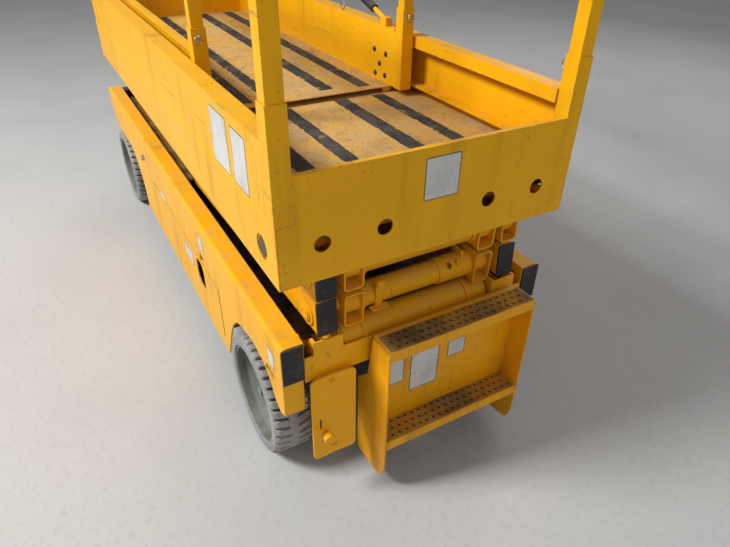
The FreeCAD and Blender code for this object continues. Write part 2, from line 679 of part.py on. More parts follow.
def tray_door():
    """Left tray's door: skin with its hand hole and the long hinge barrel at its front."""
    y_pin = TRAY_OUT - TRAY_HINGE_IN
    x_pin = TRAY_FRONT - TRAY_HINGE_BACK
    skin = box((TRAY_REAR, TRAY_FRONT), (TRAY_OUT - TRAY_SKIN, TRAY_OUT), (TRAY_LOW, TRAY_HIGH))
    barrel = rod_z(x_pin, y_pin, TRAY_HINGE_RADIUS + 5, TRAY_LOW, TRAY_HIGH)
    bore = rod_z(x_pin, y_pin, TRAY_HINGE_RADIUS + RUN_FIT, TRAY_LOW - 1, TRAY_HIGH + 1)
    half_x, half_z = HAND_HOLE_LENGTH / 2, HAND_HOLE_HEIGHT / 2
    hole = box((HAND_HOLE_X - half_x, HAND_HOLE_X + half_x), (TRAY_OUT - TRAY_SKIN - 1, TRAY_OUT + 1),
               (HAND_HOLE_Z - half_z, HAND_HOLE_Z + half_z))
    hole = round_edges(hole, HAND_HOLE_CORNER, lambda p, t: abs(t.y) > 0.9)
    return join([skin, barrel]).cut(bore).cut(hole)


def tray_bin():
    """Left tray behind its door: floor, back wall and end walls."""
    rear, front = TRAY_REAR + TRAY_BIN_IN, TRAY_FRONT - TRAY_BIN_FRONT
    across_y = (TRAY_INNER_Y, TRAY_OUT - TRAY_SKIN)
    wall_z = (TRAY_LOW, TRAY_HIGH - 60)
    floor = box((rear, front), across_y, (TRAY_LOW, TRAY_LOW + TRAY_SKIN))
    back = box((rear, front), (TRAY_INNER_Y, TRAY_INNER_Y + TRAY_SKIN), wall_z)
    ends = [box((x, x + TRAY_SKIN), across_y, wall_z) for x in (rear, front - TRAY_SKIN)]
    return join([floor, back] + ends)


def tray_pin():
    """Hinge pin of the left tray, held by ears on the chassis."""
    x, y = TRAY_FRONT - TRAY_HINGE_BACK, TRAY_OUT - TRAY_HINGE_IN
    y_skirt = HALF_CHASSIS - SKIRT_THICK
    low, high = TRAY_LOW - TRAY_PIN_EAR - 1, TRAY_HIGH + TRAY_PIN_EAR + 1
    x_web = x + TRAY_HINGE_SWEEP + TRAY_GAP
    pin = rod_z(x, y, TRAY_HINGE_RADIUS, low, high)
    ears = [box((x - 12, x_web + 8), (y - 30, y_skirt), (low, low + TRAY_PIN_EAR)),
            box((x - 12, x_web + 8), (y - 30, y_skirt), (high - TRAY_PIN_EAR, high))]
    web = box((x_web, x_web + 8), (y - 60, y_skirt), (low, high))
    return join([pin, web] + ears)


def tray_load(margin):
    """Plain block for the heavy load that fills a tray."""
    return box((TRAY_REAR + 60, TRAY_FRONT - 50), (TRAY_INNER_Y + TRAY_SKIN + margin, HALF_CHASSIS - 50),
               (TRAY_LOW + TRAY_SKIN, TRAY_HIGH - 6))


def pothole_guard():
    """Left guard: a long folded plate on a hinge rod, tucked up under the sill."""
    y, z = GUARD_HINGE_Y, GUARD_HINGE_Z
    plate = box((GUARD_REAR, GUARD_FRONT), (y - GUARD_WIDTH, y), (z - GUARD_THICK / 2, z + GUARD_THICK / 2))
    lip = box((GUARD_REAR, GUARD_FRONT), (y - GUARD_WIDTH, y - GUARD_WIDTH + GUARD_THICK),
              (z, z + GUARD_THICK / 2 + GUARD_LIP))
    start = GUARD_REAR - GUARD_EAR
    hinge = Part.makeCylinder(GUARD_ROD_RADIUS, GUARD_FRONT + GUARD_EAR - start, V(start, y, z), V(1, 0, 0))
    return join([plate, lip, hinge])


# Scissor arms

def arm_tube(y_from, width, top_end, rear=-ARM_OVERHANG):
    """One rectangular arm tube along X about its rear pin, hollow, with both ends open."""
    half = ARM_HEIGHT / 2
    ends = (rear, ARM_LENGTH + ARM_OVERHANG)
    outer = box(ends, (y_from, y_from + width), (-half, half))
    outer = round_edges(outer, ARM_CORNER, lambda p, t: abs(t.x) > 0.9)
    inner = box((ends[0] - 1, ends[1] + 1), (y_from + ARM_WALL, y_from + width - ARM_WALL),
                (-half + ARM_WALL, half - ARM_WALL))
    inner = round_edges(inner, ARM_CORNER - ARM_WALL, lambda p, t: abs(t.x) > 0.9)
    tube = outer.cut(inner)
    if top_end:
        x_end = ends[0] if top_end < 0 else ends[1]
        inward = TOP_END_CHAMFER if top_end < 0 else -TOP_END_CHAMFER
        corner = plate_xz([(x_end - inward, half + 1), (x_end + inward, half + 1),
                           (x_end - inward, half - 2 * TOP_END_CHAMFER + 1)], y_from - 1, y_from + width + 1)
        tube = tube.cut(corner)
    return tube


def boss(along, y_from, width, radius):
    """Round bush across an arm tube."""
    return rod_y(along, 0, radius, y_from, y_from + width)


def place_arm(shape, level, rising):
    """Turns an arm to its folded slope and moves its rear pin to the stack."""
    rear_level = level - 1 if rising else level
    turn = -START_ANGLE if rising else START_ANGLE
    shape.rotate(V(0, 0, 0), V(0, 1, 0), turn)
    shape.translate(V(PIVOT_X, 0, PIVOT_Z + rear_level * LEVEL_RISE))
    return shape


def tube_bar(along, radius):
    """Hollow round tube between the two inner arms, with a collar at each end."""
    ring = rod_y(along, 0, radius, -INNER_FACE, INNER_FACE)
    collar = rod_y(along, 0, radius + COLLAR, INNER_FACE - COLLAR_WIDTH, INNER_FACE)
    whole = join([ring] + both(collar))
    return whole.cut(rod_y(along, 0, radius - CROSS_TUBE_WALL, -INNER_FACE - 1, INNER_FACE + 1))


def hub_collar():
    """Long collar at the right end of the rear tube, with its round hole and small boss."""
    radius = CROSS_TUBE_RADIUS + COLLAR
    inner = -INNER_FACE + HUB_COLLAR_WIDTH
    room = rod_y(0, 0, CROSS_TUBE_RADIUS - 1, -INNER_FACE - 1, inner + 1)
    collar = rod_y(0, 0, radius, -INNER_FACE, inner).cut(room)
    back_up = V(-1, 0, 1)
    start = V(-0.66 * radius, 0, 0.66 * radius)
    hole = Part.makeCylinder(HUB_COLLAR_HOLE, 24, start + V(0, inner - 33, 0) - V(-10, 0, 10), back_up)
    knob = Part.makeCylinder(HUB_COLLAR_HOLE - 2, 9, start + V(0, inner - 60, 0), back_up)
    gusset = plate_xz([(-26, 10), (-14, 50), (24, 50), (30, 10)], -INNER_FACE + 22, -INNER_FACE + 30)
    gusset = gusset.cut(room)
    return join([collar, knob, gusset]), hole


def hose_guide():
    """T-shaped strip behind the rear tube that guides the hoses."""
    y = INNER_FACE - HOSE_GUIDE_IN
    r = CROSS_TUBE_RADIUS
    half = HOSE_STRIP_WIDTH / 2
    strip = box((-r - 5, -r + 1), (y - half, y + half), (-22, 44))
    foot = box((-r - 18, -r + 1), (y - HOSE_FOOT_WIDTH / 2, y + HOSE_FOOT_WIDTH / 2), (-24, -20))
    clamp = rod_y(-r - 4, 50, HOSE_CLAMP_RADIUS, y - half, y + half)
    return join([strip, foot, clamp])


def inner_arms(level):
    """Left and right tube of an inner arm pair, with their bushes, about the rear pin."""
    first, last = level == 1, level == LEVELS
    tube = arm_tube(INNER_FACE, INNER_TUBE, 1 if last else 0, FIRST_ARM_START if first else -ARM_OVERHANG)
    pieces = [tube, boss(0, INNER_FACE, INNER_TUBE, FIRST_TUBE_RADIUS if first else BOSS_RADIUS)]
    pieces += [boss(along, INNER_FACE, INNER_TUBE, BOSS_RADIUS) for along in (ARM_LENGTH / 2, ARM_LENGTH)]
    if last:
        pieces.append(rod_y(ARM_LENGTH, 0, PIN_RADIUS - 4, INNER_FACE + 2, UPPER_ROLLER_Y + ROLLER_WIDTH))
    return both(join(pieces))


def inner_ties(level):
    """What stands between an inner arm pair: a bearing tube at each end and the cylinder's ears."""
    rear = tube_bar(0, FIRST_TUBE_RADIUS if level == 1 else CROSS_TUBE_RADIUS)
    ties = [tube_bar(ARM_LENGTH, CROSS_TUBE_RADIUS)]
    if level == 1:
        ties.append(join(cylinder_ears(CYL_BASE_ALONG, CYL_BASE_OFFSET, 58, -68)))
    if level == 2:
        ties.append(join(cylinder_ears(CYL_EYE_ALONG, CYL_EYE_OFFSET, 24, 68)))
        collar, hole = hub_collar()
        rear = join([rear, collar, hose_guide()]).cut(hole)
    return [rear] + ties


def bore_inner(shape, level):
    """Cuts the pin bores of an inner arm pair from a shape about the rear pin, and places it."""
    bores = [(0, 0, PIN_RADIUS), (ARM_LENGTH / 2, 0, PIN_RADIUS)]
    if level < LEVELS:
        bores.append((ARM_LENGTH, 0, PIN_RADIUS))
    if level == 1:
        bores.append((CYL_BASE_ALONG, CYL_BASE_OFFSET, CYL_PIN_RADIUS))
    for along, offset, radius in bores:
        reach = INNER_OUT + 1 if offset == 0 else ear_outer() + 1
        shape = shape.cut(rod_y(along, offset, radius + RUN_FIT, -reach, reach))
    return place_arm(shape, level, True)


def ear_inner():
    """Distance from the middle plane to the inner face of an ear."""
    return CYL_EYE_WIDTH / 2 + CYL_EAR_GAP


def ear_outer():
    """Distance from the middle plane to the outer face of an ear."""
    return ear_inner() + CYL_EAR_THICK


def cylinder_ears(along, offset, tube_along, tube_offset):
    """Cross tube between the arm tubes, with the two ears that hold one end of the cylinder."""
    x_tube, z_tube = along + tube_along, offset + tube_offset
    tube = rod_y(x_tube, z_tube, CYL_BRACE_RADIUS, -INNER_FACE + 7, INNER_FACE - 7)
    pieces = [tube]
    ear = ear_plate((along, offset), (x_tube, z_tube), ear_inner(), ear_outer())
    pieces += both(ear)
    half = ARM_HEIGHT / 2
    reach = half - 12
    level_z = reach if z_tube > 0 else -reach
    hanger = ear_plate((x_tube, z_tube), (x_tube, level_z), INNER_FACE - 17, INNER_FACE - 7)
    pieces += both(hanger)
    pad = box((x_tube - 30, x_tube + 30), (INNER_FACE - 17, INNER_FACE), sorted((level_z, level_z * 0.3)))
    pieces += both(pad)
    return pieces


def ear_plate(first, second, y_from, y_to):
    """Flat ear with rounded ends about two points of the XZ plane."""
    radius = CYL_BRACE_RADIUS
    (x1, z1), (x2, z2) = first, second
    length = math.hypot(x2 - x1, z2 - z1)
    nx, nz = -(z2 - z1) / length * radius, (x2 - x1) / length * radius
    strip = plate_xz([(x1 + nx, z1 + nz), (x2 + nx, z2 + nz), (x2 - nx, z2 - nz), (x1 - nx, z1 - nz)],
                     y_from, y_to)
    return join([strip, rod_y(x1, z1, radius, y_from, y_to), rod_y(x2, z2, radius, y_from, y_to)])


def proud_boss(along):
    """Stepped boss that stands out on the outer face of an outer arm."""
    step = OUTER_OUT + BOSS_PROUD
    return [rod_y(along, 0, BOSS_RADIUS, OUTER_OUT - 1, step),
            rod_y(along, 0, BOSS_STEP_RADIUS, step - 1, step + BOSS_STEP)]


def outer_arm(level):
    """Outer arm pair with the shafts at its ends and the stub pins at its middle."""
    tube = arm_tube(OUTER_FACE, OUTER_TUBE, -1 if level == LEVELS else 0)
    bushes = [boss(along, OUTER_FACE, OUTER_TUBE, BOSS_RADIUS) for along in (0, ARM_LENGTH / 2, ARM_LENGTH)]
    if level < LEVELS:
        bushes += proud_boss(0)
    if level > 1:
        bushes += proud_boss(ARM_LENGTH)
    stub = rod_y(ARM_LENGTH / 2, 0, PIN_RADIUS, INNER_FACE - 6, OUTER_FACE + 1)
    spacer = rod_y(ARM_LENGTH / 2, 0, PIN_RADIUS + 8, INNER_OUT + 1, OUTER_FACE + 1)
    pieces = both(join([tube] + bushes + [stub, spacer]))
    pieces.append(rod_y(ARM_LENGTH, 0, PIN_RADIUS, -OUTER_FACE - 1, OUTER_FACE + 1))
    pieces.append(rod_y(0, 0, PIN_RADIUS, -OUTER_FACE - 1, OUTER_FACE + 1))
    if level == 1:
        pieces += both(rod_y(ARM_LENGTH, 0, PIN_RADIUS - 4, OUTER_FACE, LOWER_ROLLER_Y + ROLLER_WIDTH))
    whole = join(pieces)
    if level == LEVELS:
        for side in (-1, 1):
            low, high = sorted((side * (OUTER_FACE + 10), side * (OUTER_OUT + 1)))
            whole = whole.cut(rod_y(0, 0, PIN_RADIUS + RUN_FIT, low, high))
    return place_arm(whole, level, False)


def arm_caps(level, sides):
    """Black caps on the rear ends of an outer arm."""
    half = ARM_HEIGHT / 2
    end = -ARM_OVERHANG
    caps = []
    for side in sides:
        low, high = sorted((side * (OUTER_FACE + 0.5), side * (OUTER_OUT - 0.5)))
        plug = sorted((side * (OUTER_FACE + ARM_WALL + 0.3), side * (OUTER_OUT - ARM_WALL - 0.3)))
        head = box((end - CAP_THICK, end - 0.3), (low, high), (-half + 0.5, half - 0.5))
        stem = box((end - 1, end + 8), plug, (-half + ARM_WALL + 0.5, half - ARM_WALL - 0.5))
        stem = round_edges(stem, ARM_CORNER - ARM_WALL, lambda p, t: abs(t.x) > 0.9)
        caps.append(place_arm(join([head, stem]), level, False))
    return bundle(caps)


def rollers(x, z, y_from, bore):
    """Left and right rollers on the sliding ends."""
    wheel = rod_y(x, z, ROLLER_RADIUS, y_from, y_from + ROLLER_WIDTH)
    wheel = wheel.cut(rod_y(x, z, bore, y_from - 1, y_from + ROLLER_WIDTH + 1))
    return bundle(both(wheel))


# Lift cylinder

def arm_point(level, along, offset):
    """World place of a point given along an inner arm and square to it."""
    turn = math.radians(START_ANGLE)
    x = PIVOT_X + along * math.cos(turn) - offset * math.sin(turn)
    z = PIVOT_Z + (level - 1) * LEVEL_RISE + along * math.sin(turn) + offset * math.cos(turn)
    return x, z


def cylinder_parts():
    """Barrel and rod of the lift cylinder, from the first inner arm up to the second."""
    x1, z1 = arm_point(1, CYL_BASE_ALONG, CYL_BASE_OFFSET)
    x2, z2 = arm_point(2, CYL_EYE_ALONG, CYL_EYE_OFFSET)
    length = math.hypot(x2 - x1, z2 - z1)
    half = CYL_EYE_WIDTH / 2
    eye = rod_y(0, 0, CYL_EYE_RADIUS, -half, half)
    start = CYL_EYE_RADIUS + 6
    tube = Part.makeCylinder(CYL_BARREL_RADIUS, CYL_BARREL_LENGTH, V(start, 0, 0), V(1, 0, 0))
    neck = box((0, start + 2), (-half, half), (-CYL_EYE_RADIUS + 4, CYL_EYE_RADIUS - 4))
    gland = Part.makeCylinder(CYL_BARREL_RADIUS + CYL_GLAND_STEP, CYL_GLAND_LENGTH,
                              V(start + CYL_BARREL_LENGTH - 1, 0, 0), V(1, 0, 0))
    pin = rod_y(0, 0, CYL_PIN_RADIUS, -ear_outer() - 6, ear_outer() + 6)
    barrel = join([eye, tube, neck, gland, pin])
    bore = Part.makeCylinder(CYL_ROD_RADIUS + RUN_FIT, CYL_BARREL_LENGTH, V(start + 60, 0, 0), V(1, 0, 0))
    barrel = barrel.cut(bore)
    rod = Part.makeCylinder(CYL_ROD_RADIUS, length - start - 90, V(start + 80, 0, 0), V(1, 0, 0))
    rod_eye = rod_y(length, 0, CYL_EYE_RADIUS, -half, half)
    rod = join([rod, rod_eye, rod_y(length, 0, CYL_PIN_RADIUS, -half - 2, half + 2)])
    slope = math.degrees(math.atan2(z2 - z1, x2 - x1))
    for piece in (barrel, rod):
        piece.rotate(V(0, 0, 0), V(0, 1, 0), -slope)
        piece.translate(V(x1, 0, z1))
    return barrel, rod


# Platform

def corner_cut(y_from, x):
    """Room for a rail sleeve in the sheets beside it."""
    return box((x - SLEEVE / 2, x + SLEEVE / 2), (y_from, HALF_PLATFORM + 1), (CREASE_Z, TOE_TOP + 1))


def rail_sleeve(x, y):
    """Square sleeve that a rail post drops into."""
    half = SLEEVE / 2
    outer = box((x - half, x + half), (y - half, y + half), (CREASE_Z, SLEEVE_TOP))
    hollow = half - SLEEVE_WALL
    inner = box((x - hollow, x + hollow), (y - hollow, y + hollow), (CREASE_Z + POST_SEAT, SLEEVE_TOP + 1))
    return outer.cut(inner)


def platform_side():
    """Left side: lower panel, toe board with its folded lip, guide ledge and the two post sleeves."""
    y = HALF_PLATFORM
    y_up = y - CREASE_STEP
    lip = y - TOE_LIP_IN
    profile = [(y - SIDE_RETURN, PANEL_BOTTOM), (y, PANEL_BOTTOM), (y, CREASE_Z),
               (y_up, CREASE_Z + CREASE_STEP), (y_up, TOE_TOP), (lip, TOE_TOP), (lip, TOE_TOP - TOE_LIP),
               (lip + SHEET, TOE_TOP - TOE_LIP), (lip + SHEET, TOE_TOP - SHEET),
               (y_up - SHEET, TOE_TOP - SHEET), (y_up - SHEET, CREASE_Z), (y - SHEET, CREASE_Z - SHEET),
               (y - SHEET, PANEL_BOTTOM + SHEET), (y - SIDE_RETURN, PANEL_BOTTOM + SHEET)]
    sheet = profile_yz(profile, 0, PLATFORM_LENGTH)
    inner = y - LEDGE_IN
    ledge = profile_yz([(inner, LEDGE_Z - LEDGE_LIP), (inner, LEDGE_Z), (y_up - 1, LEDGE_Z),
                        (y_up - 1, LEDGE_Z - SHEET), (inner + SHEET, LEDGE_Z - SHEET),
                        (inner + SHEET, LEDGE_Z - LEDGE_LIP)], SLEEVE, PLATFORM_LENGTH)
    sheet = join([sheet, ledge]).cut(rod_y(PIVOT_X, TOP_PIVOT_Z, PIN_HOLE_RADIUS, y - SHEET - 1, y + 1))
    for x in (SLEEVE / 2, FRONT_POST_X):
        sheet = sheet.cut(corner_cut(lip - 1, x))
    sleeve_y = y - SLEEVE / 2
    return join([sheet, rail_sleeve(SLEEVE / 2, sleeve_y), rail_sleeve(FRONT_POST_X, sleeve_y)])


def end_plate():
    """Rear plate: kick plate and fascia in one, with a folded rim and four round holes."""
    y = HALF_PLATFORM - SHEET
    y_hole = HALF_PLATFORM - END_HOLE_OUTER_IN
    plate = box((0, SHEET), (-y, y), (PANEL_BOTTOM, END_PLATE_TOP))
    rim = box((0, END_RIM), (-y, y), (END_PLATE_TOP - SHEET, END_PLATE_TOP))
    low_rim = box((0, END_RIM), (-y + 30, y - 30), (PANEL_BOTTOM, PANEL_BOTTOM + SHEET))
    whole = join([plate, rim, low_rim])
    for at in (-y_hole, -END_HOLE_Y_INNER, END_HOLE_Y_INNER, y_hole):
        start = V(-SHEET, at, END_HOLE_Z)
        whole = whole.cut(Part.makeCylinder(END_HOLE_RADIUS, 4 * SHEET, start, V(1, 0, 0)))
    depth = (-1, SHEET + 1)
    foot = box(depth, (HALF_PLATFORM - SIDE_RETURN - 1, HALF_PLATFORM),
               (PANEL_BOTTOM - 1, PANEL_BOTTOM + SHEET))
    fold = box(depth, (y - CREASE_STEP, HALF_PLATFORM), (CREASE_Z - SHEET, CREASE_Z + 1))
    for cut in both(corner_cut(HALF_PLATFORM - SLEEVE, SLEEVE / 2)) + both(foot) + both(fold):
        whole = whole.cut(cut)
    return whole


def platform_deck():
    """Main deck sheet and the front fascia below it."""
    y = HALF_PLATFORM - SHEET
    deck = box((SHEET, PLATFORM_LENGTH), (-y, y), (DECK_TOP - DECK_THICK, DECK_TOP))
    fascia = box((PLATFORM_LENGTH - SHEET, PLATFORM_LENGTH), (-y + 20, y - 20), (PANEL_BOTTOM + 10, DECK_TOP))
    return join([deck, fascia])


def subframe():
    """Under the deck: roller channels and the brackets on the fixed upper pivots."""
    gap = ROLLER_RADIUS + ROLLER_PLAY
    y_in, y_web = UPPER_ROLLER_Y - 4, UPPER_ROLLER_Y + ROLLER_WIDTH + 8
    under = DECK_TOP - DECK_THICK
    runs = (TRACK_REAR, TRACK_FRONT)
    low, high = TOP_PIVOT_Z - gap - TRACK_THICK, TOP_PIVOT_Z + gap
    channel = join([box(runs, (y_web, y_web + TRACK_THICK), (low, under)),
                    box(runs, (y_in, y_web + 1), (low, low + TRACK_THICK)),
                    box(runs, (y_in, y_web + 1), (high, high + TRACK_THICK))])
    y_ear = OUTER_OUT + 7
    ear = plate_xz([(40, under), (45, TOP_PIVOT_Z - 20), (PIVOT_X - 15, TOP_PIVOT_Z - 40),
                    (PIVOT_X + 15, TOP_PIVOT_Z - 40), (PIVOT_X + 45, TOP_PIVOT_Z - 15), (190, under)],
                   y_ear, y_ear + 10)
    pin = rod_y(PIVOT_X, TOP_PIVOT_Z, PIN_RADIUS, OUTER_FACE + 12, y_ear + 16)
    head = rod_y(PIVOT_X, TOP_PIVOT_Z, BOSS_STEP_RADIUS, y_ear + 9, HALF_PLATFORM - 2)
    bearer = box((BEARER_REAR, BEARER_FRONT), (y_ear + 30, y_ear + 36), (under - 50, under))
    return bundle(both(channel) + both(join([ear, pin, head])) + both(bearer))


def guardrail_side():
    """Left rail: two posts in their sleeves, top rail and mid rail."""
    y = HALF_PLATFORM - SLEEVE / 2
    bottom = CREASE_Z + POST_SEAT + 0.3
    x1, x2 = SLEEVE / 2, FRONT_POST_X
    top = RAIL_TOP - POST / 2
    runs = [((x1, y, bottom), (x1, y, RAIL_TOP)), ((x2, y, bottom), (x2, y, RAIL_TOP)),
            ((x1 - POST / 2, y, top), (x2 + POST / 2, y, top)), ((x1, y, MID_RAIL_Z), (x2, y, MID_RAIL_Z))]
    return tube_frame(runs, POST, POST_WALL, [(x1, y, bottom), (x2, y, bottom)])


def guardrail_rear():
    """Fixed rear top rail, with the short upright and stub that the gate latches to."""
    x = SLEEVE / 2
    reach = HALF_PLATFORM - SLEEVE / 2 - POST / 2
    top = RAIL_TOP - POST / 2
    size = GATE_TUBE
    y_stub = GATE_LATCH_Y + GATE_STUB
    runs = [((x, -reach, top), (x, reach, top)), ((x, y_stub, GATE_LOW), (x, y_stub, top)),
            ((x, y_stub, GATE_LOW + size / 2), (x, reach, GATE_LOW + size / 2))]
    outers, inners = [], []
    for start, end in runs:
        outer, inner = square_tube(start, end, size, 2)
        outers.append(outer)
        inners.append(inner)
    half = size / 2 - 2
    inners.append(box((x - half, x + half), (y_stub - half, y_stub + half), (GATE_LOW - 1, GATE_LOW + 10)))
    return bundle([join(outers).cut(join(inners))] + gate_hinges())


def entry_gate():
    """Gate frame that swings inward from the right rear post, with its two hinge barrels."""
    x, size = SLEEVE / 2, GATE_TUBE
    y1, y2 = GATE_HINGE_Y + GATE_OFFSET + size / 2, GATE_LATCH_Y - size / 2
    low, high = GATE_LOW + size / 2, GATE_HIGH - size / 2
    runs = [((x, y, GATE_LOW), (x, y, GATE_HIGH)) for y in (y1, y2)]
    runs += [((x, y1, z), (x, y2, z)) for z in (low, high)]
    frame = tube_frame(runs, size, 2, [(x, y1, GATE_LOW), (x, y2, GATE_LOW)])
    barrels, bores = [], []
    for z in gate_barrel_heights():
        barrels.append(rod_z(x, GATE_HINGE_Y, GATE_PIN_RADIUS + 5, z, z + GATE_BARREL))
        barrels.append(box((x - 6, x + 6), (GATE_HINGE_Y, GATE_HINGE_Y + GATE_OFFSET + 1),
                           (z, z + GATE_BARREL)))
        bores.append(rod_z(x, GATE_HINGE_Y, GATE_PIN_RADIUS + RUN_FIT, z - 1, z + GATE_BARREL + 1))
    return join([frame] + barrels).cut(join(bores))


def gate_barrel_heights():
    """Lower ends of the gate's two hinge barrels."""
    return (GATE_LOW + GATE_BARREL, GATE_HIGH - 2 * GATE_BARREL)


def gate_hinges():
    """Lugs and pins on the right rear post that carry the gate."""
    x = SLEEVE / 2
    y_post = -(HALF_PLATFORM - SLEEVE / 2 - POST / 2)
    hinges = []
    for z in gate_barrel_heights():
        pin = rod_z(x, GATE_HINGE_Y, GATE_PIN_RADIUS, z - GATE_LUG - 1, z + GATE_BARREL + GATE_LUG + 1)
        lugs = [pin]
        for z_lug in (z - GATE_LUG - 1, z + GATE_BARREL + 1):
            lugs.append(box((x - 9, x + 9), (y_post, GATE_HINGE_Y), (z_lug, z_lug + GATE_LUG)))
            lugs.append(rod_z(x, GATE_HINGE_Y, 9, z_lug, z_lug + GATE_LUG))
        hinges.append(join(lugs))
    return hinges


# Extension

def extension_deck():
    """Upper deck sheet with its two runners on the main deck."""
    y = EXT_SIDE_Y
    deck = box((EXT_REAR, EXT_FRONT), (-y, y), (EXT_DECK_TOP - EXT_DECK_THICK, EXT_DECK_TOP))
    runner = box((EXT_REAR + 4, EXT_FRONT), (y - EXT_RUNNER, y), (DECK_TOP + EXT_SEAT, EXT_DECK_TOP - 1))
    return join([deck] + both(runner))


def extension_sides():
    """Toe boards with outward top flanges, joined by the front board, and the rear posts' sleeves."""
    y = EXT_SIDE_Y
    low = DECK_TOP + 2
    board = [(y, low), (y + SHEET, low), (y + SHEET, EXT_SIDE_TOP - SHEET),
             (y + EXT_FLANGE, EXT_SIDE_TOP - SHEET), (y + EXT_FLANGE, EXT_SIDE_TOP), (y, EXT_SIDE_TOP)]
    side = profile_yz(board, EXT_REAR, EXT_FRONT)
    front = box((EXT_FRONT, EXT_FRONT + SHEET), (-y - EXT_FLANGE, y + EXT_FLANGE), (low, EXT_FRONT_TOE))
    gusset = box((EXT_POST_X, EXT_REAR + EXT_GUSSET), (y, y + SHEET), (EXT_DECK_TOP, EXT_SIDE_TOP))
    half = EXT_SLEEVE / 2
    hollow = half - EXT_SLEEVE_WALL
    sleeve = box((EXT_POST_X - half, EXT_POST_X + half), (EXT_POST_Y - half, EXT_POST_Y + half),
                 (EXT_DECK_TOP, EXT_SLEEVE_TOP))
    room = box((EXT_POST_X - hollow, EXT_POST_X + hollow), (EXT_POST_Y - hollow, EXT_POST_Y + hollow),
               (EXT_DECK_TOP + POST_SEAT, EXT_SLEEVE_TOP + 1))
    whole = join(both(side) + both(gusset) + both(sleeve) + [front])
    for cut in both(room):
        whole = whole.cut(cut)
    return whole


def extension_rails():
    """Rails of the extension: rear and front posts, top and mid rails on three sides."""
    y = EXT_POST_Y
    low = EXT_DECK_TOP + POST_SEAT + 0.3
    xf = EXT_FRONT - EXT_POST / 2 - 1
    x1 = EXT_POST_X
    top = RAIL_TOP - EXT_POST / 2
    runs = []
    for side in (-1, 1):
        ys = side * y
        runs += [((x1, ys, low), (x1, ys, RAIL_TOP)), ((xf, ys, EXT_SIDE_TOP), (xf, ys, RAIL_TOP)),
                 ((x1, ys, top), (xf, ys, top)), ((x1, ys, MID_RAIL_Z), (xf, ys, MID_RAIL_Z))]
    runs += [((xf, -y, top), (xf, y, top)), ((xf, -y, MID_RAIL_Z), (xf, y, MID_RAIL_Z))]
    return tube_frame(runs, EXT_POST, 2, [(x1, y, low), (x1, -y, low)])


def control_box():
    """Upper control box that hangs inside the extension's front rail."""
    x = EXT_FRONT - EXT_POST - 8
    high = RAIL_TOP - CONTROL_UNDER_RAIL
    middle = high - CONTROL_FACE
    low = middle - CONTROL_FRONT
    y_low, y_high = -(EXT_SIDE_Y - CONTROL_SIDE_IN), -CONTROL_INNER_Y
    body = plate_xz([(x - CONTROL_DEPTH, low), (x, low), (x, high), (x - CONTROL_SLOPE, high),
                     (x - CONTROL_DEPTH, middle)], y_low, y_high)
    hook_y = (y_low + CONTROL_HOOK_IN, y_high - CONTROL_HOOK_IN)
    strap = CONTROL_STRAP
    over_top = RAIL_TOP + 0.3 + strap
    hook = box((x - strap, x), hook_y, (high - 1, over_top))
    over = box((x - strap, EXT_FRONT + strap), hook_y, (RAIL_TOP + 0.3, over_top))
    down = box((EXT_FRONT, EXT_FRONT + strap), hook_y, (RAIL_TOP - 4 * strap, over_top))
    return join([body, hook, over, down])


# Ladder and rear plate

def ladder():
    """Two side panels, back plate, top and lower treads with turned-down lips."""
    sheet, front, toe = LADDER_SHEET, LADDER_FRONT, LADDER_TOE
    foot, top = LADDER_FOOT, LADDER_TOP
    outline = [(sheet, top - 2), (front, top), (front + 1, foot + 82), (front + 6, foot + 42),
               (front + 18, foot + 17), (front + 46, foot + 6), (toe - 10, foot), (toe, foot + 8),
               (toe, LADDER_TOE_TOP), (CHASSIS_REAR - 4, FLOOR_Z - 20), (CHASSIS_REAR - 12, FLOOR_Z + 25)]
    left = plate_xz(outline, LADDER_LEFT_Y, LADDER_LEFT_Y + sheet)
    right = plate_xz(outline, LADDER_RIGHT_Y - sheet, LADDER_RIGHT_Y)
    span = (LADDER_RIGHT_Y - 1, LADDER_LEFT_Y + 1)
    plate = box((0, sheet), span, (LOW_TREAD_Z - 20, TOP_TREAD_Z))
    tread = box((front, sheet), span, (TOP_TREAD_Z - sheet, TOP_TREAD_Z))
    tread_lip = box((front, front + sheet), span, (TOP_TREAD_Z - TREAD_LIP, TOP_TREAD_Z))
    low = box((front + 3, sheet), span, (LOW_TREAD_Z - sheet, LOW_TREAD_Z))
    low_lip = box((front + 3, front + 3 + sheet), span, (LOW_TREAD_Z - TREAD_LIP, LOW_TREAD_Z))
    z_ear = REAR_WALL_Z[0] + 16
    ears = []
    for y in (LADDER_RIGHT_Y + LADDER_EAR, LADDER_LEFT_Y - 2 * LADDER_EAR):
        ears.append(box((0, CHASSIS_REAR), (y, y + LADDER_EAR), (z_ear, z_ear + sheet)))
    return join([left, right, plate, tread, tread_lip, low, low_lip] + ears)


